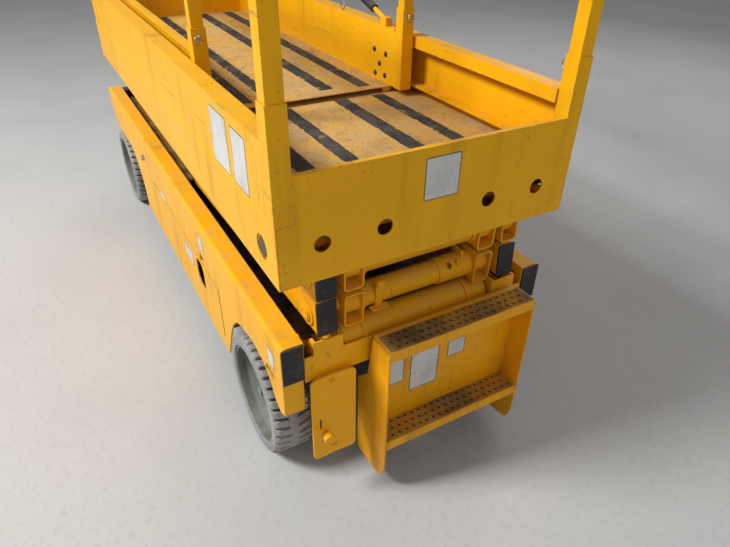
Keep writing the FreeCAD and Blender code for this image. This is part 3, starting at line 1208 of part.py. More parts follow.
def service_plate():
    """Folded plate left of the ladder with its slot and round knob, on an arm from the rear wall."""
    x, thick = SERVICE_PLATE_X, SERVICE_PLATE_THICK
    low, high = (HALF_CHASSIS - inset for inset in SERVICE_PLATE_IN)
    fold = low + (high - low) / 2
    corners = [(x, low), (x + SERVICE_FOLD, fold), (x, high), (x + thick, high),
               (x + thick + SERVICE_FOLD, fold), (x + thick, low)]
    corners = [V(a, b, SERVICE_PLATE_Z[0]) for a, b in corners]
    face = Part.Face(Part.makePolygon(corners + corners[:1]))
    plate = face.extrude(V(0, 0, SERVICE_PLATE_Z[1] - SERVICE_PLATE_Z[0]))
    outline = box((x - 1, x + 2 * thick), (low, high), SERVICE_PLATE_Z)
    plate = plate.common(round_edges(outline, SERVICE_PLATE_CORNER, lambda p, t: abs(t.x) > 0.9))
    y_slot = high - 4 * SERVICE_SLOT_WIDTH
    slot = box((x - 1, x + 2 * thick), (y_slot, y_slot + SERVICE_SLOT_WIDTH), SERVICE_SLOT_Z)
    z_arm = REAR_WALL_Z[0] + 2
    arm = box((x + thick / 2, CHASSIS_REAR), (low + 10, high - 20), (z_arm, z_arm + thick))
    y_knob, z_knob = high - 37, SERVICE_KNOB_Z
    stem = Part.makeCylinder(SERVICE_KNOB_RADIUS / 2, 20, V(x - 18, y_knob, z_knob), V(1, 0, 0))
    knob = Part.makeCylinder(SERVICE_KNOB_RADIUS, 16, V(x - 30, y_knob, z_knob), V(1, 0, 0))
    return join([plate.cut(slot), arm, stem, knob])


NODES = {}


def keep(name, shape):
    NODES[name] = shape


for name, turn in (("left", lambda shape: shape), ("right", across)):
    keep("chassis_side_" + name, turn(chassis_side()))
    keep("tray_door_" + name, turn(tray_door()))
    keep("tray_" + name, turn(tray_bin()))
    keep("pothole_guard_" + name, turn(pothole_guard()))
    keep("knuckle_" + name, turn(knuckle()))
    keep("platform_side_" + name, turn(platform_side()))
    keep("guardrail_" + name, turn(guardrail_side()))
    for end, x in (("rear", REAR_WHEEL_X), ("front", FRONT_WHEEL_X)):
        keep("tyre_" + end + "_" + name, turn(make_tyre(x)))
        keep("rim_" + end + "_" + name, turn(make_rim(x)))

keep("beam_end_plugs", bundle(both(beam_plug())))
keep("chassis_floor", chassis_floor())
keep("rear_pivot_frame", rear_pivot_frame())
keep("roller_tracks", bundle(both(roller_track())))
keep("chassis_underframe", chassis_underframe())
keep("tray_hinges", bundle(both(tray_pin())))
keep("battery_pack", tray_load(6))
keep("hydraulic_unit", across(tray_load(30)))
keep("rear_axle", rear_axle())
keep("rear_axle_tie", rear_axle_tie())
keep("front_axle", front_axle())
keep("tie_rod", tie_rod())
keep("ladder", ladder())
keep("service_plate", service_plate())

# The middle inner pair's ties are a node of their own, so that the room between the arms stays open
for level in range(1, LEVELS + 1):
    arms, ties = inner_arms(level), inner_ties(level)
    if level == 2:
        keep("inner_arm_2", bore_inner(bundle(arms), level))
        keep("cross_tubes_2", bore_inner(bundle(ties), level))
    else:
        keep("inner_arm_%d" % level, bore_inner(join(arms + ties), level))
    keep("outer_arm_%d" % level, outer_arm(level))
keep("arm_caps_1", arm_caps(1, (-1, 1)))
keep("arm_cap_2", arm_caps(2, (1,)))
keep("rollers_lower", rollers(FRONT_PIVOT_X, PIVOT_Z, LOWER_ROLLER_Y, PIN_RADIUS - 4 + RUN_FIT))
keep("rollers_upper", rollers(FRONT_PIVOT_X, TOP_PIVOT_Z, UPPER_ROLLER_Y, PIN_RADIUS - 4 + RUN_FIT))
barrel, rod = cylinder_parts()
keep("lift_cylinder_barrel", barrel)
keep("lift_cylinder_rod", rod)

keep("platform_end_plate", end_plate())
keep("platform_deck", platform_deck())
keep("platform_subframe", subframe())
keep("guardrail_rear", guardrail_rear())
keep("entry_gate", entry_gate())
keep("extension_deck", extension_deck())
keep("extension_sides", extension_sides())
keep("extension_rails", extension_rails())
keep("control_box", control_box())

os.makedirs("parts", exist_ok=True)
for name, shape in NODES.items():
    moved = shape.copy()
    moved.translate(V(SHIFT_X, 0, 0))
    moved.exportStep("parts/" + name + ".step")
    print(name, "solids", len(moved.Solids), "valid", moved.isValid(), "litres", round(moved.Volume / 1e6, 3))
print("nodes", len(NODES), "shift", SHIFT_X, "start angle", round(START_ANGLE, 4))
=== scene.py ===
# %% [markdown]
# # Scissor lift
# A scissor lift carries a railed platform on crossed arms over a low chassis. Its solids are packed as a
# CAD frame, and of those only the tyres are modelled again here. This script dresses the frame: paint,
# rubber, worn decks, and the small things that are left out of the solids, such as bolts, grip strips and
# blank stickers. Metres, +Z up, +X towards the steered end, +Y to the machine's left.

import bmesh
import bpy
import json
import math
import random
from mathutils import Matrix, Vector


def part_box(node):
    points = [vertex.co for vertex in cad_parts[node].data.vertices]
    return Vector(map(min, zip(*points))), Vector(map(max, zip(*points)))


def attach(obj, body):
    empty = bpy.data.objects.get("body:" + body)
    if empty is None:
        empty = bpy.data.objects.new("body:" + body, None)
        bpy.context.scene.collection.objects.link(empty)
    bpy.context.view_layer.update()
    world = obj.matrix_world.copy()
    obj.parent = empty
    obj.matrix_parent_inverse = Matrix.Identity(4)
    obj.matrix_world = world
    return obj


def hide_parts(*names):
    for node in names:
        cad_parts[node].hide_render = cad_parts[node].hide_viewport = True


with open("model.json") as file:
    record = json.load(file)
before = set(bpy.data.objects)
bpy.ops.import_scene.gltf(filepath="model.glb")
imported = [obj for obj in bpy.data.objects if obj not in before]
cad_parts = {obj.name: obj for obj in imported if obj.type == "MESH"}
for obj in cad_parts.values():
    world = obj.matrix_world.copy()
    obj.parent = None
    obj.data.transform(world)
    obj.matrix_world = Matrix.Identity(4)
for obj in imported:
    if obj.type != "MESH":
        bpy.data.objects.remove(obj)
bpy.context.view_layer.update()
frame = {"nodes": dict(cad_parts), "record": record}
NODES = frame["nodes"]

# %% [markdown]
# ## Camera
# The photograph was taken from behind the left rear corner, from a little above the platform. A camera
# could be placed by eye until the pictures look alike. Here its place, tilt and small roll were solved
# from the machine's straight edges, so that the render and the photograph can be laid over each other.

# %% Place the camera
CAMERA_PLACE = Vector((-2.0967, 0.7410, 1.4807))
CAMERA_YAW = math.radians(-29.915)
CAMERA_PITCH = math.radians(34.266)
CAMERA_ROLL = math.radians(0.998)
FOCAL_PIXELS = 577.19
IMAGE_WIDTH = 730
SENSOR_WIDTH = 36.0
VIEW_END = 60


def make_camera():
    """A camera that looks down along the photograph's axis, with its small roll."""
    forward = Vector((math.cos(CAMERA_YAW) * math.cos(CAMERA_PITCH),
                      math.sin(CAMERA_YAW) * math.cos(CAMERA_PITCH),
                      -math.sin(CAMERA_PITCH)))
    level = Vector((math.sin(CAMERA_YAW), -math.cos(CAMERA_YAW), 0))
    upright = level.cross(forward)
    right = math.cos(CAMERA_ROLL) * level + math.sin(CAMERA_ROLL) * upright
    up = math.cos(CAMERA_ROLL) * upright - math.sin(CAMERA_ROLL) * level
    turn = Matrix((right, up, -forward)).transposed().to_4x4()
    camera = bpy.data.objects.new("camera", bpy.data.cameras.new("camera"))
    camera.data.sensor_width = SENSOR_WIDTH
    camera.data.lens = FOCAL_PIXELS / IMAGE_WIDTH * SENSOR_WIDTH
    camera.data.clip_end = VIEW_END
    camera.matrix_world = Matrix.Translation(CAMERA_PLACE) @ turn
    bpy.context.scene.collection.objects.link(camera)
    bpy.context.scene.camera = camera
    return camera


camera = make_camera()
print("camera lens", round(camera.data.lens, 2), "mm at", [round(v, 3) for v in camera.location])

# %% [markdown]
# ## Shared shader effects
# Paint on a hired machine is never one colour: it is chipped on its edges, dusty on top, rubbed and
# streaked on its sides. Such marks could be painted on a picture, but then each piece would need its own
# unwrapping. Each effect here is a node group that puts out one mask from the place on the piece, so
# every finish below can use the same effect with its own scale and strength.

# %% Helpers for node groups
def add_node(tree, kind, inputs=None, **settings):
    """Adds a shader node, sets its options, and links or sets the named inputs."""
    made = tree.nodes.new(kind)
    for name, value in settings.items():
        setattr(made, name, value)
    for name, value in (inputs or {}).items():
        socket = made.inputs[name]
        if isinstance(value, bpy.types.NodeSocket):
            tree.links.new(value, socket)
        else:
            socket.default_value = value
    return made


def maths(tree, operation, first, second=0.0):
    """A Math node's result, kept between 0 and 1."""
    made = add_node(tree, "ShaderNodeMath", {0: first, 1: second}, operation=operation, use_clamp=True)
    return made.outputs[0]


def spread(tree, value, low, high):
    """Stretches the part of a value between low and high to the whole range from 0 to 1."""
    made = add_node(tree, "ShaderNodeMapRange", {"Value": value, "From Min": low, "From Max": high},
                    interpolation_type="SMOOTHSTEP")
    return made.outputs["Result"]


def noise(tree, place, scale, detail=4.0, stretch=(1, 1, 1)):
    """Noise at a scale in lumps per metre, drawn out along an axis where stretch is small."""
    mapped = add_node(tree, "ShaderNodeMapping", {"Vector": place, "Scale": stretch})
    inputs = {"Vector": mapped.outputs[0], "Scale": scale, "Detail": detail}
    return add_node(tree, "ShaderNodeTexNoise", inputs).outputs[0]


def new_group(name, floats):
    """An empty group with a place input, named numbers with defaults, and one mask output."""
    group = bpy.data.node_groups.new(name, "ShaderNodeTree")
    group.interface.new_socket("Place", in_out="INPUT", socket_type="NodeSocketVector")
    for title, default in floats.items():
        socket = group.interface.new_socket(title, in_out="INPUT", socket_type="NodeSocketFloat")
        socket.default_value = default
    group.interface.new_socket("Mask", in_out="OUTPUT", socket_type="NodeSocketFloat")
    given = group.nodes.new("NodeGroupInput").outputs
    result = group.nodes.new("NodeGroupOutput").inputs["Mask"]
    return group, given, result


# %% [markdown]
# ### Edge wear
# Corners are knocked bare first. The wear could be drawn by hand along each edge. A Bevel node is quicker:
# it gives the normal of a rounded edge, and where that differs from the true normal there is an edge. Noise
# then breaks the line up into chips.

# %% Edge wear
EDGE_WEAR, given, result = new_group("edge_wear", {"Width": 0.004, "Amount": 0.5, "Scale": 60.0})
bent = add_node(EDGE_WEAR, "ShaderNodeBevel", {"Radius": given["Width"]}, samples=4)
flat = add_node(EDGE_WEAR, "ShaderNodeNewGeometry")
alike = add_node(EDGE_WEAR, "ShaderNodeVectorMath", {0: bent.outputs[0], 1: flat.outputs["Normal"]},
                 operation="DOT_PRODUCT")
edge = spread(EDGE_WEAR, maths(EDGE_WEAR, "SUBTRACT", 1.0, alike.outputs["Value"]), 0.01, 0.20)
lumps = noise(EDGE_WEAR, given["Place"], given["Scale"], 6.0)
raised = maths(EDGE_WEAR, "ADD", lumps, maths(EDGE_WEAR, "SUBTRACT", given["Amount"], 0.5))
broken = spread(EDGE_WEAR, raised, 0.50, 0.62)
EDGE_WEAR.links.new(maths(EDGE_WEAR, "MULTIPLY", edge, broken), result)
print("effect", EDGE_WEAR.name)

# %% [markdown]
# ### Blotches
# Sun, hands and spilt oil leave soft patches. A few lumps of noise do for all of them: a large scale gives
# uneven paint, a small one gives specks of dirt. The two limits say how much of the surface is covered.

# %% Blotches
BLOTCHES, given, result = new_group("blotches", {"Scale": 6.0, "Low": 0.45, "High": 0.65})
lumps = noise(BLOTCHES, given["Place"], given["Scale"], 6.0)
BLOTCHES.links.new(spread(BLOTCHES, lumps, given["Low"], given["High"]), result)
print("effect", BLOTCHES.name)

# %% [markdown]
# ### Scratches
# Tools, boots and walls draw thin lines along the machine and down its sides. Noise that is squeezed in
# two directions turns into long thin lumps, and only the tops of the lumps are kept. Single modelled
# scratches would cost far more and show no better.

# %% Scratches
SCRATCHES, given, result = new_group("scratches", {"Scale": 6.0, "Amount": 0.1})
along_x = noise(SCRATCHES, given["Place"], given["Scale"], 3.0, (1, 45, 45))
along_z = noise(SCRATCHES, given["Place"], given["Scale"], 3.0, (40, 40, 1.5))
limit = maths(SCRATCHES, "SUBTRACT", 0.75, given["Amount"])
marks = maths(SCRATCHES, "MAXIMUM", maths(SCRATCHES, "SUBTRACT", along_x, limit),
              maths(SCRATCHES, "SUBTRACT", along_z, limit))
patches = spread(SCRATCHES, noise(SCRATCHES, given["Place"], 5.0, 2.0), 0.48, 0.6)
SCRATCHES.links.new(maths(SCRATCHES, "MULTIPLY", spread(SCRATCHES, marks, 0.0, 0.03), patches), result)
print("effect", SCRATCHES.name)

# %% [markdown]
# ### Settled dust
# Dust lies thick on what faces up and hardly clings to the rest. The Z part of the normal says how far a
# surface faces up, so the dust finds every ledge by itself, and grainy noise keeps it from looking sprayed.

# %% Settled dust
DUST, given, result = new_group("settled_dust", {"Amount": 0.4, "Scale": 18.0})
normal = add_node(DUST, "ShaderNodeNewGeometry").outputs["Normal"]
facing = add_node(DUST, "ShaderNodeSeparateXYZ", {0: normal})
upward = spread(DUST, facing.outputs["Z"], 0.25, 0.95)
grainy = spread(DUST, noise(DUST, given["Place"], given["Scale"], 8.0), 0.30, 0.75)
settled = maths(DUST, "MULTIPLY", upward, grainy)
DUST.links.new(maths(DUST, "MULTIPLY", settled, given["Amount"]), result)
print("effect", DUST.name)

# %% [markdown]
# ### Streaks
# Rain draws grime down the sides. Noise that is stretched along Z makes the runs, and a second noise
# fades them in and out, because real streaks never cover a side evenly.

# %% Streaks
STREAKS, given, result = new_group("streaks", {"Scale": 16.0, "Amount": 0.3})
drawn = spread(STREAKS, noise(STREAKS, given["Place"], given["Scale"], 4.0, (1, 1, 0.07)), 0.48, 0.75)
fading = spread(STREAKS, noise(STREAKS, given["Place"], 3.0, 3.0), 0.40, 0.65)
faded = maths(STREAKS, "MULTIPLY", drawn, fading)
STREAKS.links.new(maths(STREAKS, "MULTIPLY", faded, given["Amount"]), result)
print("effect", STREAKS.name)

# %% [markdown]
# ## Finishes
# A real finish is built up in time: paint first, then fading, grime, scratches and chips, and dust last,
# because dust lies on everything else. Each material could be wired by hand in the editor, but the wiring
# would be much the same every time. A small class keeps the present colour and roughness, and each
# layer is mixed over them by a mask.

# %% A finish in layers
COAT_ROUGHNESS = 0.22


class Finish:
    """A Principled material that layers are laid on."""

    def __init__(self, name, colour, roughness, metallic=0.0, coat=0.0, specular=0.5):
        self.material = bpy.data.materials.new(name)
        self.material.use_nodes = True
        self.tree = self.material.node_tree
        self.shader = self.tree.nodes["Principled BSDF"]
        self.shader.inputs["Metallic"].default_value = metallic
        self.shader.inputs["Coat Weight"].default_value = coat
        self.shader.inputs["Coat Roughness"].default_value = COAT_ROUGHNESS
        self.shader.inputs["Specular IOR Level"].default_value = specular
        self.place = add_node(self.tree, "ShaderNodeTexCoord").outputs["Object"]
        self.colour = add_node(self.tree, "ShaderNodeRGB").outputs[0]
        self.colour.default_value = (*colour, 1)
        self.rough = add_node(self.tree, "ShaderNodeValue").outputs[0]
        self.rough.default_value = roughness
        self.height = None

    def mask(self, group, **values):
        """The mask of a shared effect with this finish's own values."""
        inputs = {"Place": self.place}
        for name, value in values.items():
            inputs[name.capitalize()] = value
        made = add_node(self.tree, "ShaderNodeGroup", node_tree=group)
        for name, value in inputs.items():
            if isinstance(value, bpy.types.NodeSocket):
                self.tree.links.new(value, made.inputs[name])
            else:
                made.inputs[name].default_value = value
        return made.outputs["Mask"]

    def lay(self, mask, colour, roughness=None, strength=1.0):
        """Lays a colour, and a roughness if one is given, over what the mask covers."""
        cover = maths(self.tree, "MULTIPLY", mask, strength)
        mix = add_node(self.tree, "ShaderNodeMix", data_type="RGBA")
        self.tree.links.new(cover, mix.inputs[0])
        self.tree.links.new(self.colour, mix.inputs[6])
        mix.inputs[7].default_value = (*colour, 1)
        self.colour = mix.outputs[2]
        if roughness is not None:
            blend = add_node(self.tree, "ShaderNodeMix", data_type="FLOAT")
            self.tree.links.new(cover, blend.inputs[0])
            self.tree.links.new(self.rough, blend.inputs[2])
            blend.inputs[3].default_value = roughness
            self.rough = blend.outputs[0]

    def raise_by(self, value, distance):
        """Adds a relief whose height is the value times a distance in metres."""
        inputs = {"Height": value, "Distance": distance, "Strength": 1.0}
        self.height = add_node(self.tree, "ShaderNodeBump", inputs)

    def done(self):
        """Joins the layers to the shader."""
        self.tree.links.new(self.colour, self.shader.inputs["Base Color"])
        self.tree.links.new(self.rough, self.shader.inputs["Roughness"])
        if self.height:
            self.tree.links.new(self.height.outputs[0], self.shader.inputs["Normal"])
        return self.material


# %% [markdown]
# ### Amber paint
# Most of the machine is coated in amber paint with a soft gloss and faint orange-peel relief. Rubbed edges
# show grey-brown primer, flat tops hold pale dust, and the sides carry brown grime. One function makes
# all the paints, so that they match, and the ladder gets more wear than the arms because boots reach it.

# %% Paints
PRIMER = (0.17, 0.13, 0.09)
GRIME = (0.20, 0.085, 0.010)
PALE_DUST = (0.46, 0.32, 0.15)
AMBER = (0.88, 0.425, 0.005)


def paint(name, colour, wear=0.45, dust=0.30, grime=0.35, scratches=0.08, roughness=0.38):
    """Coated steel that has been in use."""
    finish = Finish(name, colour, roughness, coat=0.06, specular=0.16)
    darker = tuple(value * 0.84 for value in colour)
    paler = (min(colour[0] * 1.03, 1.0), colour[1] * 1.10, colour[2] + 0.004)
    finish.lay(finish.mask(BLOTCHES, scale=3.0, low=0.42, high=0.70), darker, 0.42, 0.5)
    finish.lay(finish.mask(BLOTCHES, scale=1.7, low=0.52, high=0.72), paler, None, 0.6)
    finish.lay(finish.mask(STREAKS, scale=15.0, amount=grime), GRIME, 0.6)
    finish.lay(finish.mask(BLOTCHES, scale=38.0, low=0.68, high=0.75), GRIME, 0.6, grime)
    finish.lay(finish.mask(SCRATCHES, scale=4.0, amount=scratches), PRIMER, 0.55, 0.55)
    finish.lay(finish.mask(EDGE_WEAR, width=0.0035, amount=wear, scale=70.0), PRIMER, 0.6, 0.8)
    finish.lay(finish.mask(DUST, amount=dust, scale=14.0), PALE_DUST, 0.75)
    finish.raise_by(noise(finish.tree, finish.place, 420.0, 2.0), 0.00008)
    return finish.done()


MATERIALS = {
    "chassis_paint": paint("chassis_paint", AMBER),
    "arm_paint": paint("arm_paint", (0.84, 0.385, 0.007), wear=0.40, dust=0.35, grime=0.45),
    "platform_paint": paint("platform_paint", (0.88, 0.435, 0.005), wear=0.48, dust=0.20, scratches=0.10),
    "cylinder_paint": paint("cylinder_paint", (0.82, 0.375, 0.008), wear=0.35, dust=0.40),
}
LADDER_PAINT = paint("ladder_paint", (0.86, 0.385, 0.005), wear=0.52, dust=0.30, grime=0.50, scratches=0.12)
print("paints", len(MATERIALS) + 1)

# %% [markdown]
# ### Worn decks
# Boots have taken the gloss off the decks. What is left is a sandy, smeared paint with bare brown patches
# and fine grit. It could be the amber paint with more wear, but then it would stay glossy. A finish of its
# own starts dull and rough, and serves the ladder's treads as well, in a darker colour.

# %% Deck and treads
def worn_deck(name, colour, bare, amount, dust=0.55):
    """Paint that boots have walked through."""
    finish = Finish(name, colour, 0.78, specular=0.25)
    finish.lay(finish.mask(BLOTCHES, scale=5.0, low=0.40, high=0.66), bare, 0.85, amount)
    finish.lay(finish.mask(BLOTCHES, scale=17.0, low=0.48, high=0.66), (0.38, 0.24, 0.09), 0.9, 0.5)
    finish.lay(finish.mask(BLOTCHES, scale=90.0, low=0.56, high=0.70), (0.10, 0.065, 0.03), 0.9, 0.6)
    finish.lay(finish.mask(SCRATCHES, scale=5.0, amount=0.14), (0.20, 0.15, 0.09), 0.5, 0.7)
    finish.lay(finish.mask(DUST, amount=dust, scale=9.0), (0.50, 0.39, 0.23), 0.95)
    finish.raise_by(noise(finish.tree, finish.place, 900.0, 3.0), 0.0003)
    return finish.done()


MATERIALS["deck_paint"] = worn_deck("deck_paint", (0.66, 0.37, 0.060), (0.48, 0.31, 0.12), 0.7)
TREAD_WORN = worn_deck("tread_worn", (0.50, 0.24, 0.012), (0.13, 0.075, 0.030), 0.95, 0.12)
print("deck finishes", MATERIALS["deck_paint"].name, TREAD_WORN.name)

# %% [markdown]
# ### Grip tape
# Sanded tape is stuck on the decks so that boots don't slip. It is black when new and goes grey with dust,
# and the deck's colour comes through where it is rubbed. Strong fine relief stands for the sand.

# %% Grip tape
def grip_tape():
    """Black sanded tape, grey with dust and rubbed through in places."""
    finish = Finish("grip_tape", (0.020, 0.020, 0.021), 0.92)
    finish.lay(finish.mask(BLOTCHES, scale=14.0, low=0.42, high=0.68), (0.09, 0.082, 0.07), 0.95, 0.8)
    finish.lay(finish.mask(BLOTCHES, scale=260.0, low=0.55, high=0.62), (0.16, 0.15, 0.13), 0.8, 0.5)
    finish.lay(finish.mask(BLOTCHES, scale=22.0, low=0.62, high=0.68), (0.34, 0.23, 0.10), 0.9, 0.8)
    finish.raise_by(noise(finish.tree, finish.place, 1500.0, 2.0), 0.0006)
    return finish.done()


GRIP_TAPE = grip_tape()
print("tape finish", GRIP_TAPE.name)

# %% [markdown]
# ### Rubber, wheel and dark parts
# The tyres are grey non-marking rubber, dusty on the sidewalls, and their grooves are painted almost black
# as painted shade in the recesses. The dished wheel discs are a dull grey-green, and the caps and plugs are
# matt black plastic with a dry bloom. All of them are one base colour with a few kinds of patches, so one
# function with a list of patches makes them.
# Each patch is its scale, its two limits, its colour and its strength.

# %% A plain finish with patches
def layered(name, colour, roughness, patches, dust=0.3, relief=(300.0, 0.0001), metallic=0.0, wear=None):
    """A plain finish with patches of other colours, relief, and dust on its upward faces."""
    finish = Finish(name, colour, roughness, metallic)
    for scale, low, high, other, strength in patches:
        finish.lay(finish.mask(BLOTCHES, scale=scale, low=low, high=high), other, None, strength)
    if wear:
        finish.lay(finish.mask(EDGE_WEAR, width=0.003, amount=wear[0], scale=80.0), wear[1], 0.5, 0.8)
    finish.lay(finish.mask(DUST, amount=dust, scale=20.0), (0.36, 0.33, 0.28), 0.9)
    finish.raise_by(noise(finish.tree, finish.place, relief[0], 3.0), relief[1])
    return finish.done()



# %% Rubber and wheel paint
MATERIALS["tyre_rubber"] = layered(
    "tyre_rubber", (0.27, 0.27, 0.26), 0.86,
    [(7.0, 0.42, 0.66, (0.36, 0.355, 0.335), 0.9), (60.0, 0.52, 0.66, (0.17, 0.17, 0.165), 0.6)],
    dust=0.25, relief=(500.0, 0.0003))
# The groove finish is painted shade: a near-black colour that stands for the shadow inside the tyre's
# grooves.
GROOVE_SHADE = layered("groove_painted_shade", (0.035, 0.035, 0.036), 0.92,
                        [(40.0, 0.5, 0.65, (0.08, 0.08, 0.078), 0.7)], dust=0.1)
MATERIALS["wheel_paint"] = layered(
    "wheel_paint", (0.135, 0.150, 0.120), 0.58,
    [(9.0, 0.42, 0.66, (0.20, 0.205, 0.17), 0.8), (45.0, 0.60, 0.70, (0.12, 0.065, 0.03), 0.7)],
    dust=0.35, wear=(0.5, (0.24, 0.22, 0.19)))
print("wheel finishes", 3)

# %% [markdown]
# ### Metals, plastic and stickers
# The bolts are zinc, dull and spotted with rust, and the cylinder's rod is the one bright metal, because
# oil and seals keep it clean. The stickers are soiled white film, and the holes are painted almost black,
# since no light comes back out of them.

# %% Metals, plastic and stickers
MATERIALS["dark_steel"] = layered(
    "dark_steel", (0.030, 0.029, 0.028), 0.55,
    [(8.0, 0.45, 0.66, (0.075, 0.065, 0.05), 0.8), (50.0, 0.6, 0.7, (0.13, 0.10, 0.07), 0.6)], dust=0.45)
MATERIALS["black_plastic"] = layered(
    "black_plastic", (0.013, 0.013, 0.014), 0.62,
    [(16.0, 0.45, 0.7, (0.04, 0.04, 0.042), 0.8), (70.0, 0.60, 0.70, (0.09, 0.085, 0.08), 0.5)],
    dust=0.3, wear=(0.5, (0.12, 0.115, 0.11)))
MATERIALS["roller_nylon"] = layered("roller_nylon", (0.10, 0.095, 0.085), 0.6,
                                    [(20.0, 0.45, 0.65, (0.16, 0.14, 0.11), 0.8)])
MATERIALS["bright_steel"] = layered("bright_steel", (0.62, 0.62, 0.64), 0.12,
                                    [(30.0, 0.55, 0.7, (0.50, 0.49, 0.47), 0.6)], dust=0.1,
                                    relief=(200.0, 0.00001), metallic=1.0)
ZINC = layered("zinc_fasteners", (0.46, 0.46, 0.44), 0.42,
               [(60.0, 0.45, 0.65, (0.30, 0.28, 0.25), 0.8), (110.0, 0.62, 0.7, (0.24, 0.12, 0.05), 0.7)],
               dust=0.2, metallic=0.9)
STICKER = layered("blank_sticker", (0.62, 0.62, 0.60), 0.38,
                  [(12.0, 0.45, 0.66, (0.50, 0.48, 0.43), 0.8), (90.0, 0.6, 0.7, (0.36, 0.31, 0.23), 0.5)],
                  dust=0.1, relief=(900.0, 0.00002))
STICKER_EDGE = layered("sticker_edge", (0.020, 0.022, 0.030), 0.4,
                       [(60.0, 0.5, 0.66, (0.10, 0.09, 0.08), 0.6)], dust=0.1)
# Painted shade: the near-black finish that stands for the open holes in the ladder treads.
HOLE_SHADE = layered("hole_painted_shade", (0.010, 0.009, 0.008), 0.95,
                    [(90.0, 0.5, 0.6, (0.03, 0.022, 0.012), 0.7)], dust=0.0)
STOP_RED = layered("stop_button_red", (0.50, 0.015, 0.010), 0.35,
                   [(30.0, 0.5, 0.7, (0.35, 0.012, 0.008), 0.7)], dust=0.2)
print("finishes", len(bpy.data.materials))

# %% [markdown]
# ## Soft edges on the CAD pieces
# Folded sheet and welded tube have rounded edges that catch the light. The edges could be rounded in the
# solids, but that would make them heavy. Modifiers round them without touching the CAD mesh: flat areas
# are cleaned into single faces, then the edges are bevelled, and the normals keep the flats flat.

# %% A node group that smooths all but the sharp edges
SMOOTH_LIMIT = math.radians(36)


def smooth_group():
    """Shades faces smooth and keeps edges above the limit sharp."""
    group = bpy.data.node_groups.new("smooth_by_angle", "GeometryNodeTree")
    group.interface.new_socket("Geometry", in_out="INPUT", socket_type="NodeSocketGeometry")
    group.interface.new_socket("Geometry", in_out="OUTPUT", socket_type="NodeSocketGeometry")
    start = group.nodes.new("NodeGroupInput")
    end = group.nodes.new("NodeGroupOutput")
    faces = group.nodes.new("GeometryNodeSetShadeSmooth")
    faces.domain = "FACE"
    edges = group.nodes.new("GeometryNodeSetShadeSmooth")
    edges.domain = "EDGE"
    edges.inputs["Shade Smooth"].default_value = False
    angle = group.nodes.new("GeometryNodeInputMeshEdgeAngle")
    above = group.nodes.new("FunctionNodeCompare")
    above.operation = "GREATER_THAN"
    above.inputs[1].default_value = SMOOTH_LIMIT
    group.links.new(start.outputs[0], faces.inputs["Geometry"])
    group.links.new(faces.outputs[0], edges.inputs["Geometry"])
    group.links.new(angle.outputs[0], above.inputs[0])
    group.links.new(above.outputs[0], edges.inputs["Selection"])
    group.links.new(edges.outputs[0], end.inputs[0])
    return group


SMOOTH = smooth_group()
print("smooth below", round(math.degrees(SMOOTH_LIMIT)), "degrees")

# %% Bevel the CAD pieces and give them their finishes
EDGE_DEFAULT = 0.0012
EDGE_WIDTHS = {
    "guardrail": 0.0045, "extension_rails": 0.0040, "entry_gate": 0.0035, "control_box": 0.006,
    "beam_end_plugs": 0.004, "arm_cap": 0.003, "front_axle": 0.003, "ladder": 0.0016, "knuckle": 0.002,
}
WIDE_EDGE = 0.003
WELD_GAP = 0.00002
FLAT_LIMIT = math.radians(0.4)
BEVEL_LIMIT = math.radians(34)
SLOTS = {part["node"]: part["material_slot"] for part in frame["record"]["subparts"]}


def soften(node, width):
    """Clean flat faces, rounded edges, and normals that keep the flats flat."""
    node.modifiers.new("weld", "WELD").merge_threshold = WELD_GAP
    clean = node.modifiers.new("flats", "DECIMATE")
    clean.decimate_type = "DISSOLVE"
    clean.angle_limit = FLAT_LIMIT
    bevel = node.modifiers.new("edges", "BEVEL")
    bevel.width = width
    bevel.segments = 3 if width > WIDE_EDGE else 2
    bevel.limit_method = "ANGLE"
    bevel.angle_limit = BEVEL_LIMIT
    smooth = node.modifiers.new("smooth", "NODES")
    smooth.node_group = SMOOTH
    weighted = node.modifiers.new("normals", "WEIGHTED_NORMAL")
    weighted.keep_sharp = True


for name, node in NODES.items():
    widths = [width for start, width in EDGE_WIDTHS.items() if name.startswith(start)]
    soften(node, widths[0] if widths else EDGE_DEFAULT)
    node.data.materials.clear()
    node.data.materials.append(LADDER_PAINT if name == "ladder" else MATERIALS[SLOTS[name]])
print("dressed nodes", len(NODES))

# %% [markdown]
# ## Builders for small pieces
# Bolts, pins and knobs are made on a lathe, and they are built the same way here: a profile of radii is
# turned about an axis. Primitive cylinders with modifiers would do for some of them, but a profile gives
# each its own chamfers in one short list. Whatever rides on one body with one finish is gathered in one
# mesh, so that the list of pieces stays short.

# %% Places and turned forms
REAR_FACE = -1.150
BAR_EASE = 1


def spot(x, y, z):
    """A point given in millimetres, with x counted from the platform's rear face."""
    return Vector((REAR_FACE + x / 1000, y / 1000, z / 1000))


def join_rows(shape, near, far):
    """Faces between two closed rows with the same number of points."""
    faces = []
    for k in range(len(near)):
        following = (k + 1) % len(near)
        faces.append(shape.faces.new((near[k], near[following], far[following], far[k])))
    return faces


def turned(shape, centre, axis, profile, segments=20):
    """Adds a turned form whose profile is (radius, distance along the axis) in millimetres."""
    turn = Vector(axis).normalized().to_track_quat("Z", "Y").to_matrix()
    rings = []
    for radius, along in profile:
        ring = []
        for k in range(segments):
            angle = 2 * math.pi * k / segments
            local = Vector((radius * math.cos(angle), radius * math.sin(angle), along)) / 1000
            ring.append(shape.verts.new(centre + turn @ local))
        rings.append(ring)
    for low, high in zip(rings, rings[1:]):
        join_rows(shape, low, high)
    shape.faces.new(list(reversed(rings[0])))
    shape.faces.new(rings[-1])


def bar(shape, start, end, radius, segments=16):
    """A round bar with slightly eased ends between two points."""
    length = (end - start).length * 1000
    inner = radius - BAR_EASE
    profile = [(inner, 0), (radius, BAR_EASE), (radius, length - BAR_EASE), (inner, length)]
    turned(shape, start, end - start, profile, segments)


